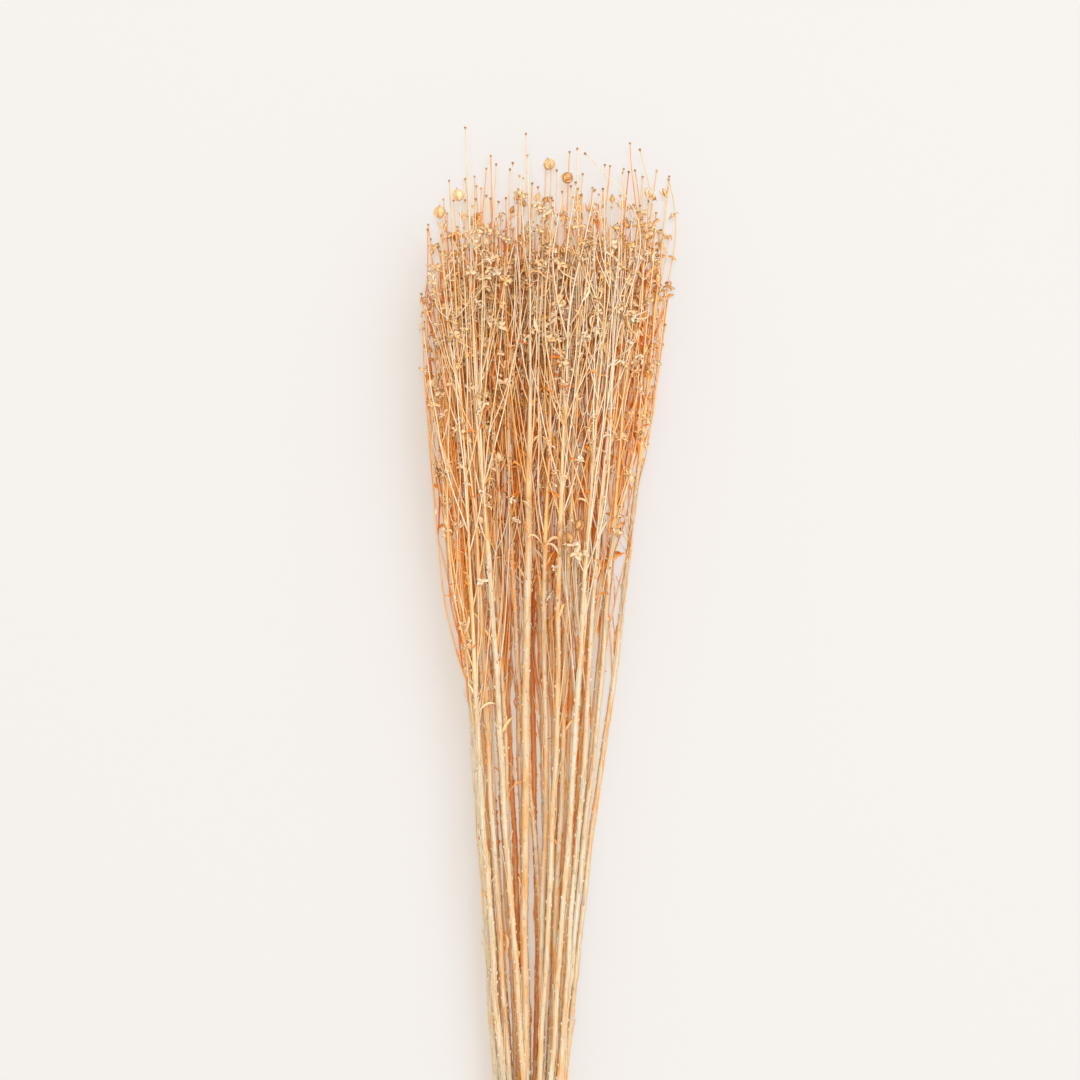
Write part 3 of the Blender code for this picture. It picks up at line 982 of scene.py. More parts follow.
class GrowingTree:
    """The geometry node tree that grows tubes, narrow leaves and ornaments from a skeleton mesh."""

    INPUTS = {
        "Sides": ("NodeSocketInt", 6),
        "Leaf flatness": ("NodeSocketFloat", 0.16),
        "Ornaments": ("NodeSocketCollection", None),
        "Straw": ("NodeSocketMaterial", None),
        "Paper": ("NodeSocketMaterial", None),
        "Seed": ("NodeSocketMaterial", None),
    }

    def __init__(self) -> None:
        """Build the tree."""
        self.tree = bpy.data.node_groups.new("growing", "GeometryNodeTree")
        face = self.tree.interface
        face.new_socket("Geometry", in_out="INPUT", socket_type="NodeSocketGeometry")
        self.keys: dict[str, str] = {}
        for name, (kind, value) in self.INPUTS.items():
            socket = face.new_socket(name, in_out="INPUT", socket_type=kind)
            self.keys[name] = socket.identifier
            if value is not None:
                socket.default_value = value
        face.new_socket("Geometry", in_out="OUTPUT", socket_type="NodeSocketGeometry")
        start = add_node(self.tree, "NodeGroupInput")
        tubes = self.grown_lines(start, Role.ROUND)
        leaves = self.grown_lines(start, Role.FLAT)
        ornaments = self.placed_ornaments(start)
        joined = add_node(self.tree, "GeometryNodeJoinGeometry", Geometry=[tubes, leaves, ornaments])
        real = add_node(self.tree, "GeometryNodeRealizeInstances", Geometry=joined.outputs[0])
        finished = add_node(self.tree, "GeometryNodeSetShadeSmooth", Geometry=real.outputs[0]).outputs[0]
        line_part = self.attribute("line_part", "INT")
        shape_part = self.attribute("shape_part", "INT")
        part = add_node(self.tree, "ShaderNodeMath", {"operation": "ADD"})
        self.tree.links.new(line_part, part.inputs[0])
        self.tree.links.new(shape_part, part.inputs[1])
        for wanted, name in ((Part.STRAW, "Straw"), (Part.PAPER, "Paper"), (Part.SEED, "Seed")):
            finished = add_node(
                self.tree,
                "GeometryNodeSetMaterial",
                Geometry=finished,
                Selection=self.equals(part.outputs[0], wanted),
                Material=start.outputs[name],
            ).outputs[0]
        add_node(self.tree, "NodeGroupOutput", Geometry=finished)

    def attribute(self, name: str, kind: str = "FLOAT") -> bpy.types.NodeSocket:
        """The socket that reads a named attribute."""
        node = add_node(self.tree, "GeometryNodeInputNamedAttribute", {"data_type": kind}, Name=name)
        return next(socket for socket in node.outputs if socket.enabled)

    def equals(self, value: bpy.types.NodeSocket, wanted: int) -> bpy.types.NodeSocket:
        """The socket that says whether a whole number is the wanted one."""
        test = {"data_type": "INT", "operation": "EQUAL"}
        return add_node(self.tree, "FunctionNodeCompare", test, A=value, B=int(wanted)).outputs[0]

    def chosen(self, start: bpy.types.Node, role: Role) -> bpy.types.NodeSocket:
        """Pick the skeleton's points that have a role.

        Args:
            start: The tree's input node.
            role: The role.

        Returns:
            The socket with those points.
        """
        return add_node(
            self.tree,
            "GeometryNodeSeparateGeometry",
            {"domain": "POINT"},
            Geometry=start.outputs["Geometry"],
            Selection=self.equals(self.attribute("role", "INT"), role),
        ).outputs["Selection"]

    def grown_lines(self, start: bpy.types.Node, role: Role) -> bpy.types.NodeSocket:
        """Tubes or narrow leaves along the skeleton's lines.

        Args:
            start: The tree's input node.
            role: Which lines to grow.

        Returns:
            The socket with their mesh.
        """
        lines = add_node(self.tree, "GeometryNodeMeshToCurve", Mesh=self.chosen(start, role)).outputs[0]
        if role == Role.ROUND:
            sides = start.outputs["Sides"]
            profile = add_node(self.tree, "GeometryNodeCurvePrimitiveCircle", Resolution=sides, Radius=1.0)
        else:
            tilt = self.attribute("tilt")
            lines = add_node(self.tree, "GeometryNodeSetCurveTilt", Curve=lines, Tilt=tilt).outputs[0]
            circle = add_node(self.tree, "GeometryNodeCurvePrimitiveCircle", Resolution=6, Radius=1.0)
            thin = add_node(self.tree, "ShaderNodeCombineXYZ", X=1.0, Y=start.outputs["Leaf flatness"], Z=1.0)
            profile = add_node(
                self.tree, "GeometryNodeTransform", Geometry=circle.outputs[0], Scale=thin.outputs[0]
            )
        grown = add_node(
            self.tree,
            "GeometryNodeCurveToMesh",
            Curve=lines,
            Profile_Curve=profile.outputs[0],
            Scale=self.attribute("width"),
            Fill_Caps=True,
        )
        return grown.outputs[0]

    def placed_ornaments(self, start: bpy.types.Node) -> bpy.types.NodeSocket:
        """Copies of the ornaments at the skeleton's loose points.

        Args:
            start: The tree's input node.

        Returns:
            The socket with the instances.
        """
        points = add_node(self.tree, "GeometryNodeMeshToPoints", Mesh=self.chosen(start, Role.ORNAMENT))
        shapes = add_node(
            self.tree,
            "GeometryNodeCollectionInfo",
            Collection=start.outputs["Ornaments"],
            Separate_Children=True,
            Reset_Children=True,
        )
        aim = self.attribute("aim", "FLOAT_VECTOR")
        aimed = add_node(self.tree, "FunctionNodeAlignRotationToVector", {"axis": "Z"}, Vector=aim)
        roll = add_node(
            self.tree, "FunctionNodeAxisAngleToRotation", Axis=(0.0, 0.0, 1.0), Angle=self.attribute("roll")
        )
        turned = add_node(
            self.tree,
            "FunctionNodeRotateRotation",
            {"rotation_space": "LOCAL"},
            Rotation=aimed.outputs[0],
            Rotate_By=roll.outputs[0],
        )
        return add_node(
            self.tree,
            "GeometryNodeInstanceOnPoints",
            Points=points.outputs[0],
            Instance=shapes.outputs[0],
            Pick_Instance=True,
            Instance_Index=self.attribute("kind", "INT"),
            Rotation=turned.outputs[0],
            Scale=self.attribute("width"),
        ).outputs[0]


@dataclass
class Finishes:
    """The materials of the plants."""

    stem: bpy.types.Material
    stalk: bpy.types.Material
    paper: bpy.types.Material
    seed: bpy.types.Material


@dataclass
class Nursery:
    """What every plant grows with: the tree, the ornaments, the finishes and the room that it may fill."""

    tree: GrowingTree
    shapes: OrnamentShapes
    finishes: Finishes
    low: np.ndarray
    high: np.ndarray

    def press_inside(self, data: bpy.types.Mesh) -> None:
        """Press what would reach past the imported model's box, or into the table, back inside.

        Args:
            data: The mesh to press.
        """
        places = np.empty(len(data.vertices) * 3, dtype=np.float32)
        data.vertices.foreach_get("co", places)
        pressed = np.clip(places.reshape(-1, 3), self.low, self.high)
        data.vertices.foreach_set("co", pressed.astype(np.float32).ravel())
        data.update()


@dataclass
class Growth:
    """The lines and ornaments of one piece, and how they become its mesh."""

    lines: list[Line] = field(default_factory=list)
    spots: list[Spot] = field(default_factory=list)

    USED_ATTRIBUTES = ("tone", "tint")

    def skeleton(self, name: str) -> bpy.types.Mesh:
        """Make the mesh of edges and loose points that the piece grows from.

        Args:
            name: The mesh's name.

        Returns:
            The mesh, with what the tree reads as attributes.
        """
        points: list[np.ndarray] = []
        edges: list[tuple[int, int]] = []
        keys = ("role", "line_part", "kind", "width", "tone", "tilt", "roll")
        values: dict[str, list] = {key: [] for key in keys}
        aims: list[np.ndarray] = []
        start = 0
        for line in self.lines:
            count = len(line.points)
            points.append(line.points * MM)
            edges += [(start + index, start + index + 1) for index in range(count - 1)]
            start += count
            values["role"] += [int(line.role)] * count
            values["line_part"] += [int(line.part)] * count
            values["kind"] += [0] * count
            values["width"] += list(line.widths * MM)
            values["tone"] += list(line.tones)
            values["tilt"] += list(np.zeros(count) if line.tilts is None else line.tilts)
            values["roll"] += [0.0] * count
            aims.append(np.tile((0.0, 0.0, 1.0), (count, 1)))
        for spot in self.spots:
            points.append(spot.point[None] * MM)
            aims.append(spot.aim[None])
            entry = (int(Role.ORNAMENT), 0, int(spot.kind), spot.size, spot.tone, 0.0, spot.roll)
            for key, value in zip(values, entry):
                values[key].append(value)
        data = bpy.data.meshes.new(name)
        data.from_pydata(np.concatenate(points).tolist(), edges, [])
        for key, column in values.items():
            whole = key in ("role", "line_part", "kind")
            layer = data.attributes.new(key, "INT" if whole else "FLOAT", "POINT")
            layer.data.foreach_set("value", np.array(column, dtype=np.int32 if whole else np.float32))
        layer = data.attributes.new("aim", "FLOAT_VECTOR", "POINT")
        layer.data.foreach_set("vector", np.concatenate(aims).astype(np.float32).ravel())
        return data

    def grow(self, name: str, nursery: Nursery, straw: bpy.types.Material, sides: int) -> bpy.types.Object:
        """Turn the lines and ornaments into a finished piece.

        Args:
            name: The piece's name.
            nursery: What the piece grows with.
            straw: The finish of its tubes.
            sides: The number of sides of a tube.

        Returns:
            The piece, as a plain mesh at the origin.
        """
        seedling = bpy.data.objects.new("skeleton", self.skeleton("skeleton"))
        bpy.context.scene.collection.objects.link(seedling)
        modifier = seedling.modifiers.new("growing", "NODES")
        modifier.node_group = nursery.tree.tree
        chosen = {
            "Sides": sides,
            "Ornaments": nursery.shapes.collection,
            "Straw": straw,
            "Paper": nursery.finishes.paper,
            "Seed": nursery.finishes.seed,
        }
        for key, value in chosen.items():
            modifier[nursery.tree.keys[key]] = value
        graph = bpy.context.evaluated_depsgraph_get()
        data = bpy.data.meshes.new_from_object(
            seedling.evaluated_get(graph), preserve_all_data_layers=True, depsgraph=graph
        )
        bpy.data.objects.remove(seedling)
        nursery.press_inside(data)
        kept = self.USED_ATTRIBUTES
        extra = [layer.name for layer in data.attributes if not layer.is_required and layer.name not in kept]
        for layer_name in extra:
            if not layer_name.startswith(".") and layer_name not in ("material_index", "sharp_face"):
                data.attributes.remove(data.attributes[layer_name])
        data.name = name
        piece = bpy.data.objects.new(name, data)
        bpy.context.scene.collection.objects.link(piece)
        return piece


def scar_roll(outward: np.ndarray, along: np.ndarray) -> float:
    """Find the roll that turns a scar's own +X along the stem.

    Args:
        outward: The direction that the scar's +Z is aimed in.
        along: The direction of the stem.

    Returns:
        The angle about the aimed +Z.
    """
    turned = Vector((0, 0, 1)).rotation_difference(Vector(outward))
    own = turned @ Vector((1, 0, 0))
    other = turned @ Vector((0, 1, 0))
    return math.atan2(other.dot(Vector(along)), own.dot(Vector(along)))


def outward_from(along: np.ndarray, angle: float) -> np.ndarray:
    """The direction that leaves a line sideways at an angle, counted from its right towards its top."""
    across = unit(np.cross(along, (0, 0, 1)))
    return across * math.cos(angle) + np.cross(across, along) * math.sin(angle)


def spoke(angle: float, along: float = 0.0, lift: float = 0.0) -> np.ndarray:
    """The direction across the bunch at an angle from its right, moved along the bunch and up."""
    return np.array((math.cos(angle), along, lift + math.sin(angle)))


@dataclass
class Grower:
    """What stems and seed heads share: stalks, twigs, leaves and papery bits that grow on a line."""

    plant: Plant
    outline: Outline
    growth: Growth
    chance: random.Random

    # How pale stalks and papery bits are, by their depth in the bunch, their height and the outline; darker
    # with depth is painted shade, paler at the outline's sides is painted light
    DEPTH_PAINTED_SHADE = 0.86
    DEPTH_PAINTED_SHADE_POWER = 1.5
    HEIGHT_PALES = 0.3
    EDGE_PAINTED_LIGHT = 0.3
    TONE_LOW = -0.04
    TONE_HIGHEST = 0.82
    TONE_SPREAD = (-0.22, 0.26)
    PALE_FROM = 130.0
    PALE_OVER = 100.0
    PAPER_TONES = (0.5, 1.1)
    PAPER_LOW = 0.4
    PAPER_PAINTED_SHADE_RISE = 0.6
    HUSK_TONES = (0.42, 0.54, 0.66, 0.8)
    KNOB_TONES = (0.4, 0.7)

    # How stalks grow: the spacing of their points, their lean low and high in the head, and their bend
    STALK_STEP = 7.0
    TWIG_WIDTH = (0.29, 0.17)
    TWIG_LENGTH = (10, 65)
    TWIG_REACH = (1, 5)
    TWIG_SHARES = (0.15, 0.85)
    TWIG_OF_ROOM = (0.35, 1.05)
    TWIG_KNOTS = (16, 0.45)
    CLOSE_LEAN = 0.06
    LOOSE_LEAN = 0.26
    LEAST_LEAN = 0.01
    ARCH = 0.05
    STALK_WANDER = 0.006
    SHORTEST_STALK = 9
    BELOW_CROWN = (-10, 50)
    SIDE_MARGIN = 9.0
    TABLE_ROOM = 0.4
    HAIRPIN_SHARE = 0.24
    HAIRPIN_POINTS = 7
    HAIRPIN_BOW = (1.5, 4)
    HAIRPIN_BELOW = (0.02, 0.12)

    # The knots on a stalk, and the swelling where another leaves it
    KNOT_GAPS = (0.4, 1.6)
    KNOT_SIZES = (0.7, 1.3)
    KNOT_PALER = (0.1, 0.35)
    FORK_POINTS = 5
    FORK_REACH = 3
    FORK_SWELL = 0.5
    FORK_SIZES = (0.95, 1.15)
    FORK_PALER = (0.08, 0.3)

    # Dry leaves and papery bits: where they fit, and the side and span that has kept most of them
    HIGHEST_PAPER = 268.0
    PAPER_ROOM = 5.5
    LEAFY_SIDE = 18.0
    LEAFY_SPAN = (50.0, 145.0)
    LEAFY_DRAWS = 4
    LEAF_POINTS = 8
    LEAF_CURL = (0.4, 2.2)
    LEAF_ROOM = 0.8
    THINNEST_LEAF = 0.08

    # Long withered leaves: the heights that they sink to, the spacing of their points and their form; their
    # rust tone low in the bunch is partly painted shade between the stalks
    LOW_LAYER = (1.5, 22.0)
    STRAND_STEP = 5
    STRAND_TONES = (-0.1, 0.24)
    STRAND_WIDTHS = (0.34, 0.7)
    SHORTEST_STRAND = 12
    THINNEST_STRAND = 0.1

    PAPERY = (Ornament.OPEN_STAR, Ornament.LIMP_STAR, Ornament.CUP, Ornament.TATTER)

    # What a twig ends in, up to which share of the draws, and its sizes
    TWIG_ENDS = (
        (0.4, Ornament.KNOB, (0.6, 1.0)),
        (0.54, Ornament.OPEN_STAR, (0.65, 1.05)),
        (0.68, Ornament.LIMP_STAR, (0.65, 1.1)),
        (0.88, Ornament.TATTER, (0.65, 1.15)),
        (0.94, Ornament.CUP, (0.6, 0.95)),
        (0.985, Ornament.BUD, (0.8, 1.15)),
        (1.0, Ornament.CAPSULE, (0.6, 0.85)),
    )

    def tone_at(self, point: np.ndarray) -> float:
        """Choose how pale a stalk is: palest near the tips and on top of the bunch, with painted shade deep
        in it and painted light at its sides.

        Args:
            point: A point that the stalk passes.

        Returns:
            The tone.
        """
        height = min(max((point[1] - self.PALE_FROM) / self.PALE_OVER, 0), 1)
        # Painted shade: darker deep in the bunch; painted light: paler at its sides
        pale = self.DEPTH_PAINTED_SHADE * self.outline.depth(point) ** self.DEPTH_PAINTED_SHADE_POWER
        pale = pale + self.HEIGHT_PALES * height + self.EDGE_PAINTED_LIGHT * self.outline.edge(point)
        return min(pale + self.TONE_LOW, self.TONE_HIGHEST) + self.chance.uniform(*self.TONE_SPREAD)

    def paper_tone(self, point: np.ndarray) -> float:
        """How pale a papery bit is at a point: amber low in the bunch and cream on top, which is painted
        shade.
        """
        # Painted shade: darker low in the bunch
        share = self.PAPER_LOW + self.PAPER_PAINTED_SHADE_RISE * self.outline.depth(point)
        return self.chance.uniform(*self.PAPER_TONES) * share

    def even_stalk(self, points: np.ndarray, widths: tuple[float, float], darker: float = 0.0) -> Line:
        """Make a stalk of one tone along its points.

        Args:
            points: The points.
            widths: Its half width at the root and at the tip.
            darker: How much darker it is than others at its place.

        Returns:
            The stalk.
        """
        count = len(points)
        tone = self.tone_at(points[count // 2]) - darker
        return Line(points, np.linspace(*widths, count), np.full(count, tone))

    def add_scar(
        self, foot: np.ndarray, outward: np.ndarray, along: np.ndarray, size: float, tone: float
    ) -> None:
        """Add the raised scale that a leaf has dropped from.

        Args:
            foot: Its place on the stalk.
            outward: The direction away from the stalk.
            along: The direction of the stalk.
            size: Its scale.
            tone: How pale it is.
        """
        roll = scar_roll(outward, along)
        self.growth.spots.append(Spot(foot, outward, size, tone, Ornament.SCAR, roll))

    def add_knots(self, line: Line, spacing: float, size: float) -> None:
        """Set the small pale knots where leaves left a stalk.

        Args:
            line: The stalk.
            spacing: The mean distance between them.
            size: Their scale.
        """
        length = line.length()
        place = self.chance.uniform(2, spacing)
        angle = self.chance.uniform(0, 6)
        while place < length - 2:
            point, along, radius = line.place(place / length)
            angle += GOLDEN_ANGLE
            outward = outward_from(along, angle)
            tone = line.tones[0] + self.chance.uniform(*self.KNOT_PALER)
            scale = size * self.chance.uniform(*self.KNOT_SIZES)
            if point[2] > scale + self.TABLE_ROOM:
                self.add_scar(point + outward * radius * 0.8, outward, along, scale, tone)
            place += spacing * self.chance.uniform(*self.KNOT_GAPS)

    def add_fork_knot(self, line: Line, share: float) -> None:
        """Swell a stalk where another leaves it.

        Args:
            line: The stalk.
            share: Where the other one leaves.
        """
        point, along, radius = line.place(share)
        t = np.linspace(-1, 1, self.FORK_POINTS)
        points = point + along * t[:, None] * radius * self.FORK_REACH
        widths = radius * (1 + self.FORK_SWELL * (1 - t**2)) * self.chance.uniform(*self.FORK_SIZES)
        tone = line.tones[0] + self.chance.uniform(*self.FORK_PALER)
        self.growth.lines.append(Line(points, widths, np.full(self.FORK_POINTS, tone)))

    def leafy_place(
        self, parents: list[Line], low: float, high: float
    ) -> tuple[np.ndarray, np.ndarray, float]:
        """Choose a place on a stalk, rather on the side where the bunch has kept its leaves.

        Args:
            parents: The stalks.
            low: The lowest place along a stalk, from 0 to 1.
            high: The highest such place.

        Returns:
            The point, the direction there and the stalk's half width.
        """
        chance = self.chance
        draws = [
            chance.choice(parents).place(chance.uniform(low, high)) for turn in range(self.LEAFY_DRAWS)
        ]
        for place in draws:
            x, y, z = place[0]
            if x > self.LEAFY_SIDE and self.LEAFY_SPAN[0] < y < self.LEAFY_SPAN[1]:
                return place
        return draws[0]

    def add_leaf(
        self, point: np.ndarray, aim: np.ndarray, length: float, half_width: float, tone: float
    ) -> None:
        """Add a dry, curled, narrow leaf.

        Args:
            point: Where it is joined on.
            aim: The direction that it leaves in.
            length: Its length.
            half_width: Half of its greatest width.
            tone: How pale it is.
        """
        count = self.LEAF_POINTS
        t = np.linspace(0, 1, count)
        curl = self.chance.uniform(*self.LEAF_CURL) * self.chance.choice((-1, 1))
        lean = (self.chance.uniform(-1, 1), 0.2, self.chance.uniform(0.3, 1))
        side = unit(np.cross(aim, lean))
        points = [point]
        for share in t[1:]:
            angle = curl * share**1.5
            heading = aim * math.cos(angle) + side * math.sin(angle)
            points.append(points[-1] + heading * length / (count - 1))
        held = self.outline.hold(np.array(points), self.LEAF_ROOM)
        held[0] = point
        widths = np.maximum(half_width * (0.35 + 2.4 * t - 2.6 * t**2), self.THINNEST_LEAF)
        tones = tone + 0.1 * np.sin(6 * t)
        tilts = self.chance.uniform(0, math.pi) + self.chance.uniform(-2.5, 2.5) * t
        self.growth.lines.append(Line(held, widths, tones, Role.FLAT, Part.PAPER, tilts))

    def has_paper_room(self, point: np.ndarray) -> bool:
        """Whether papery bits fit at a point, within the bunch and clear of the table."""
        top = self.outline.high[:, 2].max()
        return point[1] < self.HIGHEST_PAPER and self.PAPER_ROOM < point[2] < top - self.PAPER_ROOM

    def add_end(self, line: Line, kind: Ornament, size: float = 1.0) -> None:
        """Put an ornament on a stalk's tip.

        Args:
            line: The stalk.
            kind: The ornament.
            size: Its scale.
        """
        chance = self.chance
        aim = unit(line.points[-1] - line.points[-2])
        tone = line.tones[-1]
        if kind in self.PAPERY and not self.has_paper_room(line.points[-1]):
            kind = Ornament.KNOB
        if kind not in (Ornament.KNOB, Ornament.CUT_END):
            aim = unit(aim + np.array([chance.uniform(-0.5, 0.5) for axis in range(3)]))
        if kind in self.PAPERY:
            tone = self.paper_tone(line.points[-1])
        elif kind in (Ornament.CAPSULE, Ornament.BUD):
            tone = chance.choice(self.HUSK_TONES)
        elif kind == Ornament.KNOB:
            tone = chance.uniform(*self.KNOB_TONES)
        roll = chance.uniform(0, 2 * math.pi)
        self.growth.spots.append(Spot(line.points[-1], aim, size, tone, kind, roll))

    def twig_end(self) -> tuple[Ornament, float]:
        """Choose what a twig ends in.

        Returns:
            The ornament and its scale.
        """
        draw = self.chance.random()
        kind, sizes = next((kind, sizes) for share, kind, sizes in self.TWIG_ENDS if draw < share)
        return kind, self.chance.uniform(*sizes)

    def shoot(self, parent: Line, share: float, length: float, reach: float) -> np.ndarray:
        """Grow a course that leaves a stalk and bends up beside it.

        Args:
            parent: The stalk that it leaves.
            share: Where it leaves, from 0 to 1.
            length: Its length.
            reach: How far it moves away sideways.

        Returns:
            The course's points.
        """
        chance = self.chance
        point, along, radius = parent.place(share)
        loose = self.CLOSE_LEAN + self.LOOSE_LEAN * min(max(point[1] / self.HIGHEST_PAPER, 0), 1)
        lean = chance.uniform(self.LEAST_LEAN, loose) * chance.choice((-1, 1))
        left, right = self.outline.side_room(point + np.array((lean * length, length, 0)))
        if min(left, right) < self.SIDE_MARGIN:
            lean = abs(lean) if left < right else -abs(lean)
        over = point + np.array((lean * length, 0, 0))
        room = self.outline.crown(over) - chance.uniform(*self.BELOW_CROWN) - point[1]
        length = min(length, max(room, self.SHORTEST_STALK))
        ahead = unit(along + np.array((lean * 2, 1.0, chance.uniform(-0.12, 0.12))))
        side = unit(np.array((math.copysign(1, lean), 0, chance.uniform(-0.8, 0.8))))
        count = max(4, round(length / self.STALK_STEP) + 1)
        t = np.linspace(0, 1, count)[:, None]
        bend = (1 - (1 - t) ** 3) * reach
        points = point + ahead * length * t + side * bend
        points = points + wander(chance, count, self.STALK_WANDER * length, 1.0)
        points[:, 0] += chance.gauss(0, self.ARCH) * length * t[:, 0] ** 2
        held = self.outline.hold(points, self.TABLE_ROOM)
        held[0] = point
        return held

    def add_twig(self, line: Line, share: float, length: float) -> None:
        """Add a fine stalk with its end.

        Args:
            line: The stalk that it leaves.
            share: Where it leaves, from 0 to 1.
            length: Its length.
        """
        points = self.shoot(line, share, length, self.chance.uniform(*self.TWIG_REACH))
        twig = self.even_stalk(points, self.TWIG_WIDTH)
        self.growth.lines.append(twig)
        kind, size = self.twig_end()
        self.add_end(twig, kind, size)
        self.add_fork_knot(line, share)
        if kind == Ornament.KNOB and self.chance.random() < self.HAIRPIN_SHARE:
            self.add_hairpin(line, share, twig)
        self.add_knots(twig, *self.TWIG_KNOTS)

    def add_hairpin(self, line: Line, share: float, twig: Line) -> None:
        """Add a second fine stalk that meets a twig at its tip.

        Args:
            line: The branch that both leave.
            share: Where the twig leaves the branch.
            twig: The twig.
        """
        chance = self.chance
        count = self.HAIRPIN_POINTS
        root = line.place(max(share - chance.uniform(*self.HAIRPIN_BELOW), 0))[0]
        tip = twig.points[-1]
        t = np.linspace(0, 1, count)[:, None]
        side = chance.choice((-1, 1)) * chance.uniform(*self.HAIRPIN_BOW)
        bow = np.array((side, 0, chance.uniform(-1.5, 1.5)))
        points = self.outline.hold(root + (tip - root) * t + bow * np.sin(math.pi * t**1.4), self.TABLE_ROOM)
        points[0] = root
        points[-1] = tip
        widths = np.linspace(self.TWIG_WIDTH[0], self.TWIG_WIDTH[1] * 0.9, count)
        self.growth.lines.append(Line(points, widths, np.full(count, twig.tones[0])))

    def add_branch(self, line: Line, twigs: int) -> None:
        """Add a branch with its twigs.

        Args:
            line: The branch.
            twigs: How many twigs it has.
        """
        self.growth.lines.append(line)
        shortest, longest = self.TWIG_LENGTH
        for index in range(twigs):
            share = self.chance.uniform(*self.TWIG_SHARES)
            room = line.length() * (1 - share)
            length = room * self.chance.uniform(*self.TWIG_OF_ROOM)
            self.add_twig(line, share, min(max(length, shortest), longest))

    def add_withered_strand(self, parents: list[Line], low: float, high: float, length: float) -> None:
        """Add a long narrow leaf that has dried along a stalk, rather low in the bunch, where its rust tone
        also stands in for the shade between the stalks.

        Args:
            parents: The stalks that can carry it.
            low: The lowest place on a stalk that it can leave from, from 0 to 1.
            high: The highest such place.
            length: Its length.
        """
        chance = self.chance
        draws = [chance.choice(parents).place(chance.uniform(low, high)) for turn in range(2)]
        point, along, radius = min(draws, key=lambda place: self.outline.depth(place[0]))
        length = min(length, max(self.outline.crown(point) - point[1], self.SHORTEST_STRAND))
        # Rust tone of a withered leaf sunk low: partly painted shade between the stalks
        tone = chance.uniform(*self.STRAND_TONES)
        count = max(5, round(length / self.STRAND_STEP))
        t = np.linspace(0, 1, count)
        lean = np.array((chance.uniform(-0.16, 0.16), 1, chance.uniform(-0.1, 0.1)))
        points = point + (along * 0.5 + lean * 0.5) * (length * t)[:, None]
        points = points + wander(chance, count, chance.uniform(0.4, 1.6), 1.5)
        sunk = chance.uniform(*self.LOW_LAYER)
        points[:, 2] += np.minimum(sunk - points[:, 2], 0) * t**0.7
        held = self.outline.hold(points, 1.0)
        held[0] = point
        widths = chance.uniform(*self.STRAND_WIDTHS) * (0.5 + 2.2 * t - 2.4 * t**2)
        widths = np.maximum(widths, self.THINNEST_STRAND)
        tilts = chance.uniform(0, math.pi) + chance.uniform(-4, 4) * t
        tones = tone + 0.12 * np.sin(9 * t + chance.uniform(0, 6))
        self.growth.lines.append(Line(held, widths, tones, Role.FLAT, Part.PAPER, tilts))


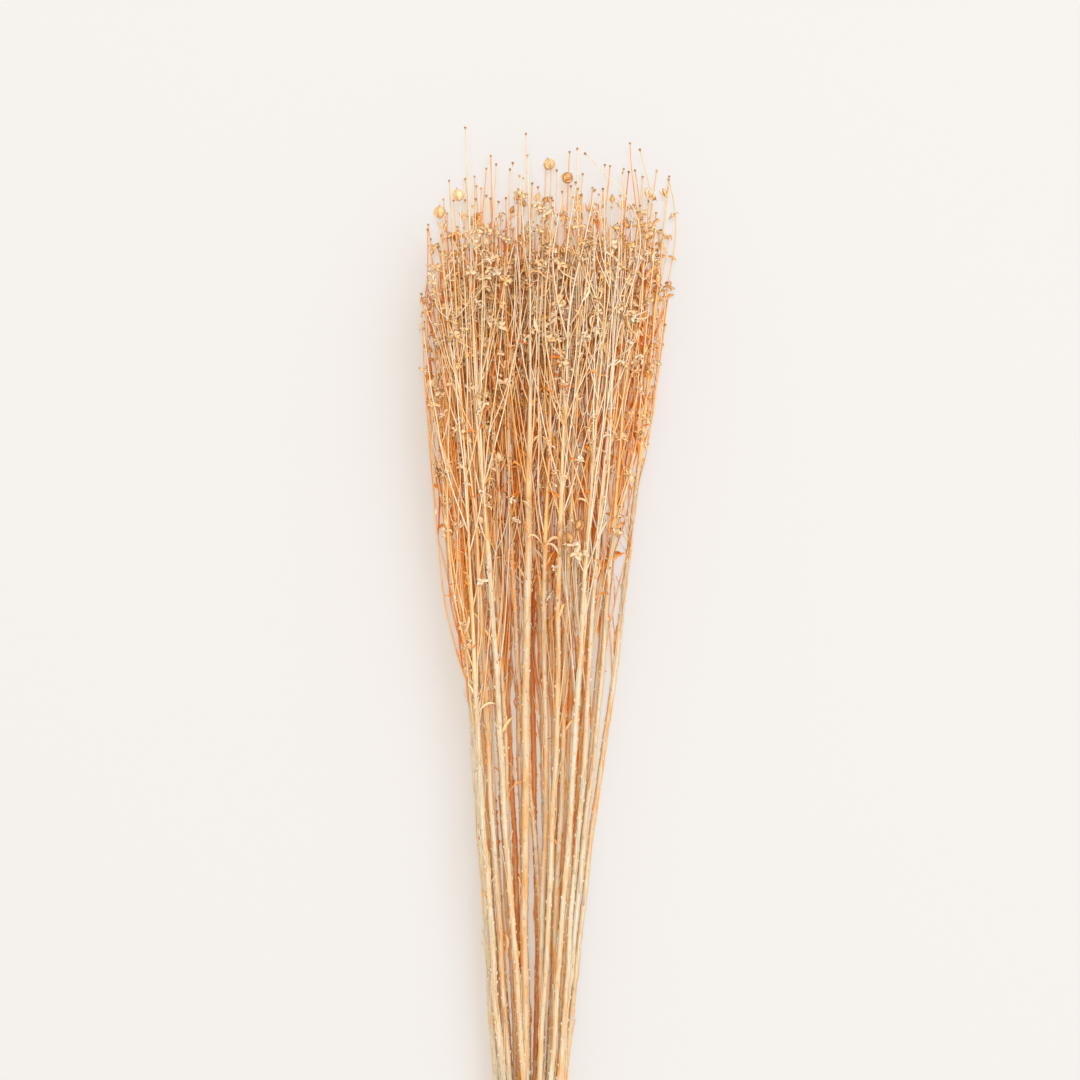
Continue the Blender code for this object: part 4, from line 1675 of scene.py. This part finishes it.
@dataclass
class Stem(Grower):
    """A bare stem, from its cut end to its main fork, with the thin side stalks that leave it."""

    step: float = 3.0
    wander_size: float = 0.35
    scar_spacing: float = 1.9
    rough_scar_spacing: float = 1.3
    scar_size: tuple[float, float] = (0.7, 1.8)
    fibres: int = 12
    rough_fibres: int = 46
    leaves: int = 4
    shoots: int = 4
    side_stalks: int = 4
    strands: int = 6
    stalks_from: float = -15.0
    rough: bool = False
    lowest: float = 0.05
    tied: tuple[float, float] = (0.0, 0.0)

    # The tube itself: how its width and its tone vary
    SIDES = 8
    CUT_OVERLAP = 0.12
    UNEVEN_WIDTH = (0.86, 1.1)
    TIED_WIDTH = 0.95
    DRIFT = 0.10
    DRIFT_ENDS_OVER = 30

    # Leaf scars and peeling fibres
    SCAR_GAPS = (0.5, 1.6)
    SCAR_PALER = (-0.06, 0.26)
    FIBRE_POINTS = 8
    FIBRE_SPAN = (8, 34)
    FIBRE_WIDTHS = (0.13, 0.3)
    FIBRE_PALER = (-0.2, 0.35)
    FREE_FIBRES = 0.4

    # Dry leaves, broken shoots, thin side stalks and withered leaves
    LEAF_LENGTHS = (6, 16)
    LEAF_WIDTHS = (0.4, 1.1)
    LEAF_TONES = (0.1, 0.2, 0.3, 0.45, 0.8)
    SHOOT_REACH = (2, 8)
    SHOOT_WIDTH = (0.34, 0.2)
    SHOOT_PALER = 0.12
    SIDE_STALK_LENGTHS = (60, 170)
    SIDE_STALK_WIDTH = (0.44, 0.22)
    SIDE_STALK_REACH = (1.5, 6)
    SIDE_STALK_DARKER = 0.05
    SIDE_STALK_KNOTS = (11, 0.55)
    STRAND_LENGTHS = (15, 60)

    def line(self) -> Line:
        """Draw the stem's own line, a little uneven along its length.

        Returns:
            The line.
        """
        points = smooth_line(self.plant.stem, self.step)
        count = len(points)
        points = points + wander(self.chance, count, self.wander_size, 3.2)
        y = points[:, 1]
        radii = np.interp(y, self.plant.stem[:, 1], self.plant.stem_radii)
        bumps = np.array([self.chance.uniform(*self.UNEVEN_WIDTH) for index in range(count)])
        bumps[(y > self.tied[0]) & (y < self.tied[1])] = self.TIED_WIDTH
        points[:, 2] = np.maximum(points[:, 2], radii * 1.1 + self.lowest)
        drift = self.DRIFT * np.sin(y / self.chance.uniform(20, 60) + self.chance.uniform(0, 6))
        drift *= np.clip((points[-1][1] - y) / self.DRIFT_ENDS_OVER, 0, 1)
        return Line(points, radii * bumps, self.plant.tone + drift)

    def add_scars(self, line: Line) -> None:
        """Set the leaf scars in a spiral round the stem.

        Args:
            line: The stem's line.
        """
        chance = self.chance
        spacing = self.rough_scar_spacing if self.rough else self.scar_spacing * chance.uniform(0.6, 1.7)
        length = line.length()
        angle = chance.uniform(0, 6)
        place = chance.uniform(1, 3)
        while place < length - 2:
            point, along, radius = line.place(place / length)
            angle += GOLDEN_ANGLE + chance.uniform(-0.5, 0.5)
            outward = outward_from(along, angle)
            size = chance.uniform(*self.scar_size)
            foot = point + outward * radius * 0.95
            under_band = self.tied[0] < foot[1] < self.tied[1]
            if foot[2] > 0.75 * size + self.lowest and not under_band:
                tone = line.tones[0] + chance.uniform(*self.SCAR_PALER)
                self.add_scar(foot, outward, along, size, tone)
            place += spacing * chance.uniform(*self.SCAR_GAPS)

    def add_fibres(self, line: Line) -> None:
        """Peel fine strips of bark off the stem.

        Args:
            line: The stem's line.
        """
        chance = self.chance
        for index in range(self.rough_fibres if self.rough else self.fibres):
            start = chance.uniform(0.05, 0.92)
            span = chance.uniform(*self.FIBRE_SPAN)
            angle = chance.uniform(-0.4, math.pi + 0.4)
            free = chance.random() < self.FREE_FIBRES
            lift = chance.uniform(0.3, 2.0) if free else chance.uniform(0.05, 0.8)
            count = self.FIBRE_POINTS
            points = []
            for step in range(count):
                t = step / (count - 1)
                point, along, radius = line.place(min(start + t * span / line.length(), 1))
                outward = outward_from(along, angle + 0.5 * math.sin(3 * t + index))
                rise = lift * (t**2 if free else math.sin(math.pi * t))
                points.append(point + outward * (radius * 0.94 + rise))
            width = chance.uniform(*self.FIBRE_WIDTHS)
            fibre = np.array(points)
            if fibre[0][1] < self.tied[1] and fibre[-1][1] > self.tied[0]:
                continue
            fibre[:, 2] = np.maximum(fibre[:, 2], width + self.lowest)
            tone = line.tones[0] + chance.uniform(*self.FIBRE_PALER)
            self.growth.lines.append(Line(fibre, np.full(count, width), np.full(count, tone)))

    def add_leaves(self, line: Line) -> None:
        """Leave a few dry leaves and broken side shoots on the stem.

        Args:
            line: The stem's line.
        """
        chance = self.chance
        for index in range(self.leaves + self.shoots):
            point, along, radius = self.leafy_place([line], 1 - 0.75 * chance.random() ** 1.6, 1.0)
            outward = spoke(chance.uniform(-0.3, math.pi + 0.3))
            foot = point + outward * radius * 0.8
            if index < self.leaves:
                aim = unit(along + outward * chance.uniform(0.05, 0.6))
                tone = chance.choice(self.LEAF_TONES)
                length = chance.uniform(*self.LEAF_LENGTHS)
                self.add_leaf(foot, aim, length, chance.uniform(*self.LEAF_WIDTHS), tone)
                continue
            aim = unit(along + outward * chance.uniform(0.5, 1.6))
            reach = chance.uniform(*self.SHOOT_REACH)
            shoot = np.array([foot, foot + aim * reach * 0.5, foot + aim * reach + along * reach * 0.2])
            shoot = self.outline.hold(shoot, 0.5)
            tone = line.tones[0] + self.SHOOT_PALER
            self.growth.lines.append(Line(shoot, np.linspace(*self.SHOOT_WIDTH, 3), np.full(3, tone)))

    def add_side_stalks(self, line: Line) -> None:
        """Let thin side stalks and withered leaves run up beside the stem.

        Args:
            line: The stem's line.
        """
        chance = self.chance
        low = float(np.interp(self.stalks_from, line.points[:, 1], np.linspace(0, 1, len(line.points))))
        for index in range(self.side_stalks):
            share = chance.uniform(low, 0.99)
            length = chance.uniform(*self.SIDE_STALK_LENGTHS)
            points = self.shoot(line, share, length, chance.uniform(*self.SIDE_STALK_REACH))
            stalk = self.even_stalk(points, self.SIDE_STALK_WIDTH, self.SIDE_STALK_DARKER)
            self.add_branch(stalk, chance.randint(0, 2))
            self.add_knots(stalk, *self.SIDE_STALK_KNOTS)
            self.add_end(stalk, *self.twig_end())
        for index in range(self.strands):
            self.add_withered_strand([line], low, 0.98, chance.uniform(*self.STRAND_LENGTHS))

    def build(self, nursery: Nursery) -> bpy.types.Object:
        """Build the stem.

        Args:
            nursery: What it grows with.

        Returns:
            The stem's piece.
        """
        line = self.line()
        self.growth.lines.append(line)
        self.add_scars(line)
        self.add_fibres(line)
        self.add_leaves(line)
        self.add_side_stalks(line)
        aim = unit(line.points[0] - line.points[1])
        cut = line.points[0] - aim * self.CUT_OVERLAP
        self.growth.spots.append(Spot(cut, aim, line.widths[0], line.tones[0], Ornament.CUT_END, 0.0))
        name = f"flax_stem_{self.plant.number:02d}"
        return self.growth.grow(name, nursery, nursery.finishes.stem, self.SIDES)


@dataclass
class SeedHead(Grower):
    """The branching head of a plant above its main fork."""

    fork_overlap: float = 2.0
    fork_taper: float = 70.0
    axis_width: tuple[float, float] = (0.5, 0.23)
    branch_width: tuple[float, float] = (0.42, 0.2)
    extra_branches: int = 7
    twigs_a_branch: tuple[int, int] = (0, 2)
    inner_leaves: int = 9
    strands: int = 19
    leaves: int = 6
    bracts: int = 20

    # The axis, the stalks that the solid has and the thinner ones between them
    SIDES = 6
    AXIS_STEP = 4.0
    AXIS_PALER = 0.08
    AXIS_END_SIZE = 0.9
    AXIS_KNOTS = (6.0, 0.8)
    OWN_STALK_LEAVES = 5
    OWN_STALK_END_SIZE = 0.95
    OWN_STALK_KNOTS = (10.0, 0.6)
    EMPTY_CUPS = 0.7
    EXTRA_REACH = (3, 12)
    EXTRA_OF_AXIS = (0.35, 0.85)

    # Withered leaves inside and outside the head
    LEAF_LENGTHS = (5, 13)
    LEAF_WIDTHS = (0.4, 1.1)
    INNER_TONES = (0.0, 0.08, 0.16, 0.25)
    OUTER_TONES = (0.35, 0.6, 0.8)
    STRAND_LENGTHS = (20, 75)

    # Papery bits on short shoots, which sit rather high in the bunch and towards the tips
    CROWN_PULL = 0.02
    BRACT_TOP = 235.0
    BRACT_SHOOT = (0.3, 2.5)
    BRACT_WIDTH = 0.22
    BRACT_SIZES = (0.65, 1.15)
    BRACT_KINDS = (Ornament.OPEN_STAR, Ornament.LIMP_STAR, Ornament.TATTER, Ornament.TATTER)

    # What most of the solid's cups turn into
    CUP_KINDS = (Ornament.OPEN_STAR, Ornament.LIMP_STAR, Ornament.TATTER, Ornament.BUD)

    def axis_line(self) -> Line:
        """Draw the head's main axis, which starts inside the stem.

        Returns:
            The axis.
        """
        start = self.plant.axis[0] - np.array((0, self.fork_overlap, 0))
        points = smooth_line(np.vstack((start, self.plant.axis)), self.AXIS_STEP)
        count = len(points)
        points = points + wander(self.chance, count, 0.3, 2.0)
        stem_radius = self.plant.stem_radii[-1]
        t = np.linspace(0, 1, count)
        slim = self.axis_width[0] * stem_radius * (1 - t) ** 0.8 + self.axis_width[1] * t
        near_fork = np.clip(1 - (points[:, 1] - start[1]) / self.fork_taper, 0, 1) ** 1.5
        widths = slim + (stem_radius * 0.99 - slim) * near_fork
        tone = self.tone_at(points[count // 2]) + self.AXIS_PALER
        return Line(points, widths, tone + (self.plant.tone - tone) * near_fork)

    def add_own_stalks(self, axis: Line) -> list[Line]:
        """Add the side stalks that the plant's solid has.

        Args:
            axis: The head's main axis.

        Returns:
            The stalks.
        """
        chance = self.chance
        stalks = []
        for course, kind in self.plant.stalks:
            foot = course[0][1] - self.OWN_STALK_LEAVES
            share = float(np.interp(foot, axis.points[:, 1], np.linspace(0, 1, len(axis.points))))
            root = axis.place(share)[0]
            points = relaxed(smooth_line(np.vstack((root, course)), self.STALK_STEP))
            points = points + wander(chance, len(points), 0.35, 1.6)
            stalk = self.even_stalk(points, self.branch_width)
            self.add_branch(stalk, chance.randint(*self.twigs_a_branch))
            if kind == Ornament.CUP and chance.random() < self.EMPTY_CUPS:
                kind = chance.choice(self.CUP_KINDS)
            self.add_end(stalk, kind, self.OWN_STALK_END_SIZE)
            self.add_knots(stalk, *self.OWN_STALK_KNOTS)
            if kind == Ornament.KNOB and chance.random() < self.HAIRPIN_SHARE:
                self.add_hairpin(axis, min(share + 0.1, 0.9), stalk)
            stalks.append(stalk)
        return stalks

    def add_more_stalks(self, axis: Line) -> list[Line]:
        """Add thinner side stalks between the solid's own.

        Args:
            axis: The head's main axis.

        Returns:
            The stalks.
        """
        chance = self.chance
        stalks = []
        for index in range(self.extra_branches):
            share = (index + chance.uniform(0.1, 0.9)) / self.extra_branches * 0.75
            length = axis.length() * (1 - share) * chance.uniform(*self.EXTRA_OF_AXIS)
            points = self.shoot(axis, share, length, chance.uniform(*self.EXTRA_REACH))
            stalk = self.even_stalk(points, self.branch_width)
            self.add_branch(stalk, chance.randint(0, 2))
            self.add_end(stalk, *self.twig_end())
            stalks.append(stalk)
        return stalks

    def add_dry_leaves(self, parents: list[Line]) -> None:
        """Leave withered leaves on the stalks, rust brown inside the head and pale outside.

        Args:
            parents: The stalks that can carry them.
        """
        chance = self.chance
        for index in range(self.inner_leaves + self.leaves):
            inner = index < self.inner_leaves
            carriers = parents[:1] if inner and chance.random() < 0.5 else parents
            point, along, radius = self.leafy_place(carriers, 0.02, 0.5 if inner else 0.8)
            angle = chance.uniform(0, 2 * math.pi)
            aim = unit(along * chance.uniform(0.4, 1) + spoke(angle) * chance.uniform(0.2, 0.8))
            tone = chance.choice(self.INNER_TONES if inner else self.OUTER_TONES)
            length = chance.uniform(*self.LEAF_LENGTHS)
            self.add_leaf(point, aim, length, chance.uniform(*self.LEAF_WIDTHS), tone)
        for index in range(self.strands):
            self.add_withered_strand(parents, 0.0, 0.6, chance.uniform(*self.STRAND_LENGTHS))

    def add_bracts(self, parents: list[Line]) -> None:
        """Leave papery bits on short shoots, most of them where the head is seen from above.

        Args:
            parents: The stalks that can carry them.
        """
        chance = self.chance
        for index in range(self.bracts):
            places = [(chance.choice(parents), chance.uniform(0.05, 1.0)) for turn in range(3)]
            found = [parent.place(share) for parent, share in places]
            pull = self.CROWN_PULL * (index % 2)
            scores = [self.outline.depth(spot[0]) + pull * min(spot[0][1], self.BRACT_TOP) for spot in found]
            point, along, radius = found[int(np.argmax(scores))]
            if not self.has_paper_room(point):
                continue
            outward = spoke(chance.uniform(0, math.pi), along=0.3, lift=0.3)
            kind = chance.choice(self.BRACT_KINDS)
            tone = self.paper_tone(point)
            foot = point + unit(outward) * chance.uniform(*self.BRACT_SHOOT)
            shoot = np.array([point, (point + foot) / 2, foot])
            self.growth.lines.append(Line(shoot, np.full(3, self.BRACT_WIDTH), np.full(3, tone)))
            size = chance.uniform(*self.BRACT_SIZES)
            aim = unit(along * 0.8 + outward)
            self.growth.spots.append(Spot(foot, aim, size, tone, kind, chance.uniform(0, 6)))

    def build(self, nursery: Nursery) -> bpy.types.Object:
        """Build the seed head.

        Args:
            nursery: What it grows with.

        Returns:
            The head's piece.
        """
        axis = self.axis_line()
        self.growth.lines.append(axis)
        kind = Ornament.CAPSULE if self.plant.axis_ends_in_capsule else Ornament.KNOB
        self.add_end(axis, kind, self.AXIS_END_SIZE)
        parents = [axis, *self.add_own_stalks(axis), *self.add_more_stalks(axis)]
        self.add_knots(axis, *self.AXIS_KNOTS)
        self.add_dry_leaves(parents)
        self.add_bracts(parents)
        name = f"flax_head_{self.plant.number:02d}"
        return self.growth.grow(name, nursery, nursery.finishes.stalk, self.SIDES)


@dataclass
class TieBand:
    """The elastic band round the stems, in three turns side by side."""

    turns: int = 3
    thickness: float = 1.15
    rounding: float = 0.28
    slack: float = 0.12
    profile_sides: int = 8
    step: float = 0.9
    easing: int = 3

    def loop(self, hull: np.ndarray) -> np.ndarray:
        """Follow a ring of corners evenly, with the corners eased.

        Args:
            hull: The corners, across and up.

        Returns:
            The points of the ring, across and up.
        """
        closed = np.vstack((hull, hull[:1]))
        along = np.concatenate(([0.0], np.cumsum(np.linalg.norm(np.diff(closed, axis=0), axis=1))))
        wanted = np.linspace(0, along[-1], round(along[-1] / self.step), endpoint=False)
        loop = np.column_stack([np.interp(wanted, along, closed[:, axis]) for axis in (0, 1)])
        for turn in range(self.easing):
            loop = 0.5 * loop + 0.25 * (np.roll(loop, 1, axis=0) + np.roll(loop, -1, axis=0))
        return loop

    def course(self, corners: np.ndarray) -> tuple[np.ndarray, np.ndarray]:
        """Find the band's way round the stems.

        Args:
            corners: The corners of the band's solid.

        Returns:
            The points of its outer face, and the outward direction at each.
        """
        flat = [(x, z) for x, y, z in corners]
        hull = np.array([flat[index] for index in convex_hull_2d(flat)])
        centre = hull.mean(axis=0)
        flat_loop = self.loop(hull)
        loop = np.column_stack((flat_loop[:, 0], np.zeros(len(flat_loop)), flat_loop[:, 1]))
        tangents = np.roll(loop, -1, axis=0) - np.roll(loop, 1, axis=0)
        normals = np.column_stack((tangents[:, 2], np.zeros(len(loop)), -tangents[:, 0]))
        normals /= np.linalg.norm(normals, axis=1)[:, None]
        outward = loop - np.array((centre[0], 0, centre[1]))
        normals *= np.sign((normals * outward).sum(axis=1))[:, None]
        return loop, normals

    def profile(self) -> list[tuple[float, float]]:
        """Draw the rounded section of a turn.

        Returns:
            How far across and how far out each of its points is, from -1 to 1.
        """
        section = []
        for side in range(self.profile_sides):
            angle = 2 * math.pi * (side + 0.5) / self.profile_sides
            pair = (math.cos(angle), math.sin(angle))
            section.append(tuple(math.copysign(abs(part) ** self.rounding, part) for part in pair))
        return section

    def build(self, node: bpy.types.Object, finish: Latex) -> bpy.types.Object:
        """Build the band on the place of its solid.

        Args:
            node: The band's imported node.
            finish: Its finish.

        Returns:
            The band's piece.
        """
        corners = NodeShape(node).corners
        loop, normals = self.course(corners)
        low, high = corners[:, 1].min(), corners[:, 1].max()
        width = (high - low) / self.turns
        points = []
        faces = []
        count = len(loop)
        for turn in range(self.turns):
            middle = low + (turn + 0.5) * width
            first = len(points)
            for index, (point, normal) in enumerate(zip(loop, normals)):
                sway = self.slack * math.sin(2 * math.pi * index / count + turn)
                for across, depth in self.profile():
                    y = middle + across * (width / 2 - self.slack) + sway * 0.5
                    spot = point - normal * ((1 - depth) / 2 * self.thickness)
                    points.append((spot[0] * MM, y * MM, spot[2] * MM))
            for index in range(count):
                near = first + index * self.profile_sides
                far = first + (index + 1) % count * self.profile_sides
                for side in range(self.profile_sides):
                    after = (side + 1) % self.profile_sides
                    faces.append((near + side, near + after, far + after, far + side))
        data = bpy.data.meshes.new("elastic_band")
        data.from_pydata(points, [], faces)
        data.materials.append(finish.material())
        make_faces_point_out(data)
        data.shade_smooth()
        piece = bpy.data.objects.new("elastic_band", data)
        bpy.context.scene.collection.objects.link(piece)
        return piece


def make_faces_point_out(data: bpy.types.Mesh) -> None:
    """Turn a closed mesh's faces outward.

    Args:
        data: The mesh.
    """
    mesh = bmesh.new()
    mesh.from_mesh(data)
    bmesh.ops.recalc_face_normals(mesh, faces=mesh.faces)
    mesh.to_mesh(data)
    mesh.free()


@dataclass
class Studio:
    """The floor, the light and the camera: cool daylight from above, in a warm and pale room."""

    daylight: str = "#DCEDFF"
    room: str = "#FFEBD2"
    room_strength: float = 0.83
    view_width: float = 540.0
    view_middle: tuple[float, float, float] = (-5.0, 90.0, 25.0)
    lens: float = 85.0
    sensor: float = 36.0
    floor_size: float = 8.0

    # Name, place in metres, length of a side in metres and power in watts
    LAMPS = (
        ("window", (3.2, 3.1, 5.2), 4.4, 262.0),
        ("overhead", (0.0, 0.1, 6.0), 1.0, 178.0),
    )

    def floor(self) -> bpy.types.Object:
        """Make the sheet that the bunch lies on.

        Returns:
            The sheet.
        """
        half = self.floor_size / 2
        data = bpy.data.meshes.new("floor")
        corners = [(-half, -half, 0), (half, -half, 0), (half, half, 0), (-half, half, 0)]
        data.from_pydata(corners, [], [(0, 1, 2, 3)])
        data.materials.append(Paper().material())
        floor = bpy.data.objects.new("floor", data)
        bpy.context.scene.collection.objects.link(floor)
        return floor

    def lamp(self, name: str, place: tuple[float, float, float], size: float, power: float) -> None:
        """Add a soft square lamp that looks at the bunch.

        Args:
            name: The lamp's name.
            place: Where it is, in metres.
            size: The length of its side, in metres.
            power: Its power in watts.
        """
        light = bpy.data.lights.new(name, "AREA")
        light.size = size
        light.energy = power
        light.color = linear_colour(self.daylight)[:3]
        lamp = bpy.data.objects.new(name, light)
        lamp.location = place
        target = Vector(self.view_middle) * MM
        lamp.rotation_euler = (target - Vector(place)).to_track_quat("-Z", "Y").to_euler()
        bpy.context.scene.collection.objects.link(lamp)

    def light(self) -> None:
        """Light the scene from the upper right and from above, with a pale room round it."""
        world = bpy.data.worlds.new("room")
        world.use_nodes = True
        background = world.node_tree.nodes["Background"]
        background.inputs["Color"].default_value = linear_colour(self.room)
        background.inputs["Strength"].default_value = self.room_strength
        bpy.context.scene.world = world
        for name, place, size, power in self.LAMPS:
            self.lamp(name, place, size, power)

    def camera(self) -> None:
        """Look straight down on the bunch."""
        data = bpy.data.cameras.new("camera")
        data.lens = self.lens
        data.sensor_width = self.sensor
        camera = bpy.data.objects.new("camera", data)
        distance = self.view_width * self.lens / self.sensor
        x, y, z = self.view_middle
        camera.location = (x * MM, y * MM, (z + distance) * MM)
        bpy.context.scene.collection.objects.link(camera)
        bpy.context.scene.camera = camera
        bpy.context.scene.view_settings.view_transform = "Standard"


def settle(piece: bpy.types.Object, node: str) -> None:
    """Tie a finished piece to the frame and report it.

    Args:
        piece: The piece.
        node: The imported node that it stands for.
    """
    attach(piece, BODY)
    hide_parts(node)
    LOG.info("%s stands for %s with %d faces", piece.name, node, len(piece.data.polygons))


def stem_tone(plant: Plant, outline: Outline) -> float:
    """Choose how pale a plant's stem is.

    Args:
        plant: The plant.
        outline: The bunch's outline.

    Returns:
        The tone.
    """
    if plant.number in ROUGH_STEMS:
        return ROUGH_TONE
    middle = plant.stem[len(plant.stem) // 2]
    # Painted shade and light: the stem is darker deep in the bunch and paler on top and at its sides
    pale = STEM_TONE_LOW + STEM_PAINTED_SHADE_RISE * outline.depth(middle) + STEM_PAINTED_LIGHT_AT_EDGE * outline.edge(middle)
    chance = random.Random(TONE_SEEDS + plant.number)
    return min(pale, STEM_TONE_HIGHEST) + chance.uniform(*STEM_TONE_SPREAD)


def make_finishes() -> Finishes:
    """Make the plants' materials.

    Returns:
        The materials.
    """
    stem = Straw("bleached_stem_straw", STEM_STOPS, streaks=1.4, patches=1.0, fibre_relief=0.14)
    stalk = Straw("bleached_stalk_straw", STALK_STOPS, fibre_length=8.0)

    # A dry sepal is a thin, dull, crumpled skin, and its veins are shorter than a stalk's fibres
    paper = Straw("papery_sepal", PAPER_STOPS, 0.7, fibre_length=2.0, patch_length=4.0, patches=0.4)

    # The husk of a ripe capsule is hard, browner than straw and a little glossier
    seed = Straw("seed_capsule_husk", SEED_STOPS, 0.45, fibre_length=3.0, streaks=0.5, patches=0.3)
    return Finishes(stem.material(), stalk.material(), paper.material(), seed.material())


def main() -> None:
    """Dress the bunch and set up the picture."""
    logging.basicConfig(level=logging.INFO, format="%(name)s: %(message)s")
    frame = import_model()
    packed_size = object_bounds()
    nodes = frame["nodes"]
    studio = Studio()
    studio.camera()
    studio.light()
    studio.floor()
    count = sum(name.startswith("stem_") for name in nodes)
    plants = [Plant.read(number + 1, nodes) for number in range(count)]
    outline = Outline(plants)
    for plant in plants:
        plant.tone = stem_tone(plant, outline)
    low, high = (np.array(corner) for corner in packed_size)
    nursery = Nursery(GrowingTree(), OrnamentShapes(), make_finishes(), low, high)
    band = NodeShape(nodes["tie_band"]).corners[:, 1]
    tied = (band.min() - BAND_ROOM, band.max() + BAND_ROOM)
    for plant in plants:
        rough = plant.number in ROUGH_STEMS
        chance = random.Random(STEM_SEEDS + plant.number)
        stem = Stem(plant, outline, Growth(), chance, rough=rough, tied=tied)
        settle(stem.build(nursery), f"stem_{plant.number:02d}")
        head = SeedHead(plant, outline, Growth(), random.Random(HEAD_SEEDS + plant.number))
        settle(head.build(nursery), f"seed_head_{plant.number:02d}")
    nursery.shapes.discard()
    settle(TieBand().build(nodes["tie_band"], Latex()), "tie_band")


if __name__ == "__main__":
    main()
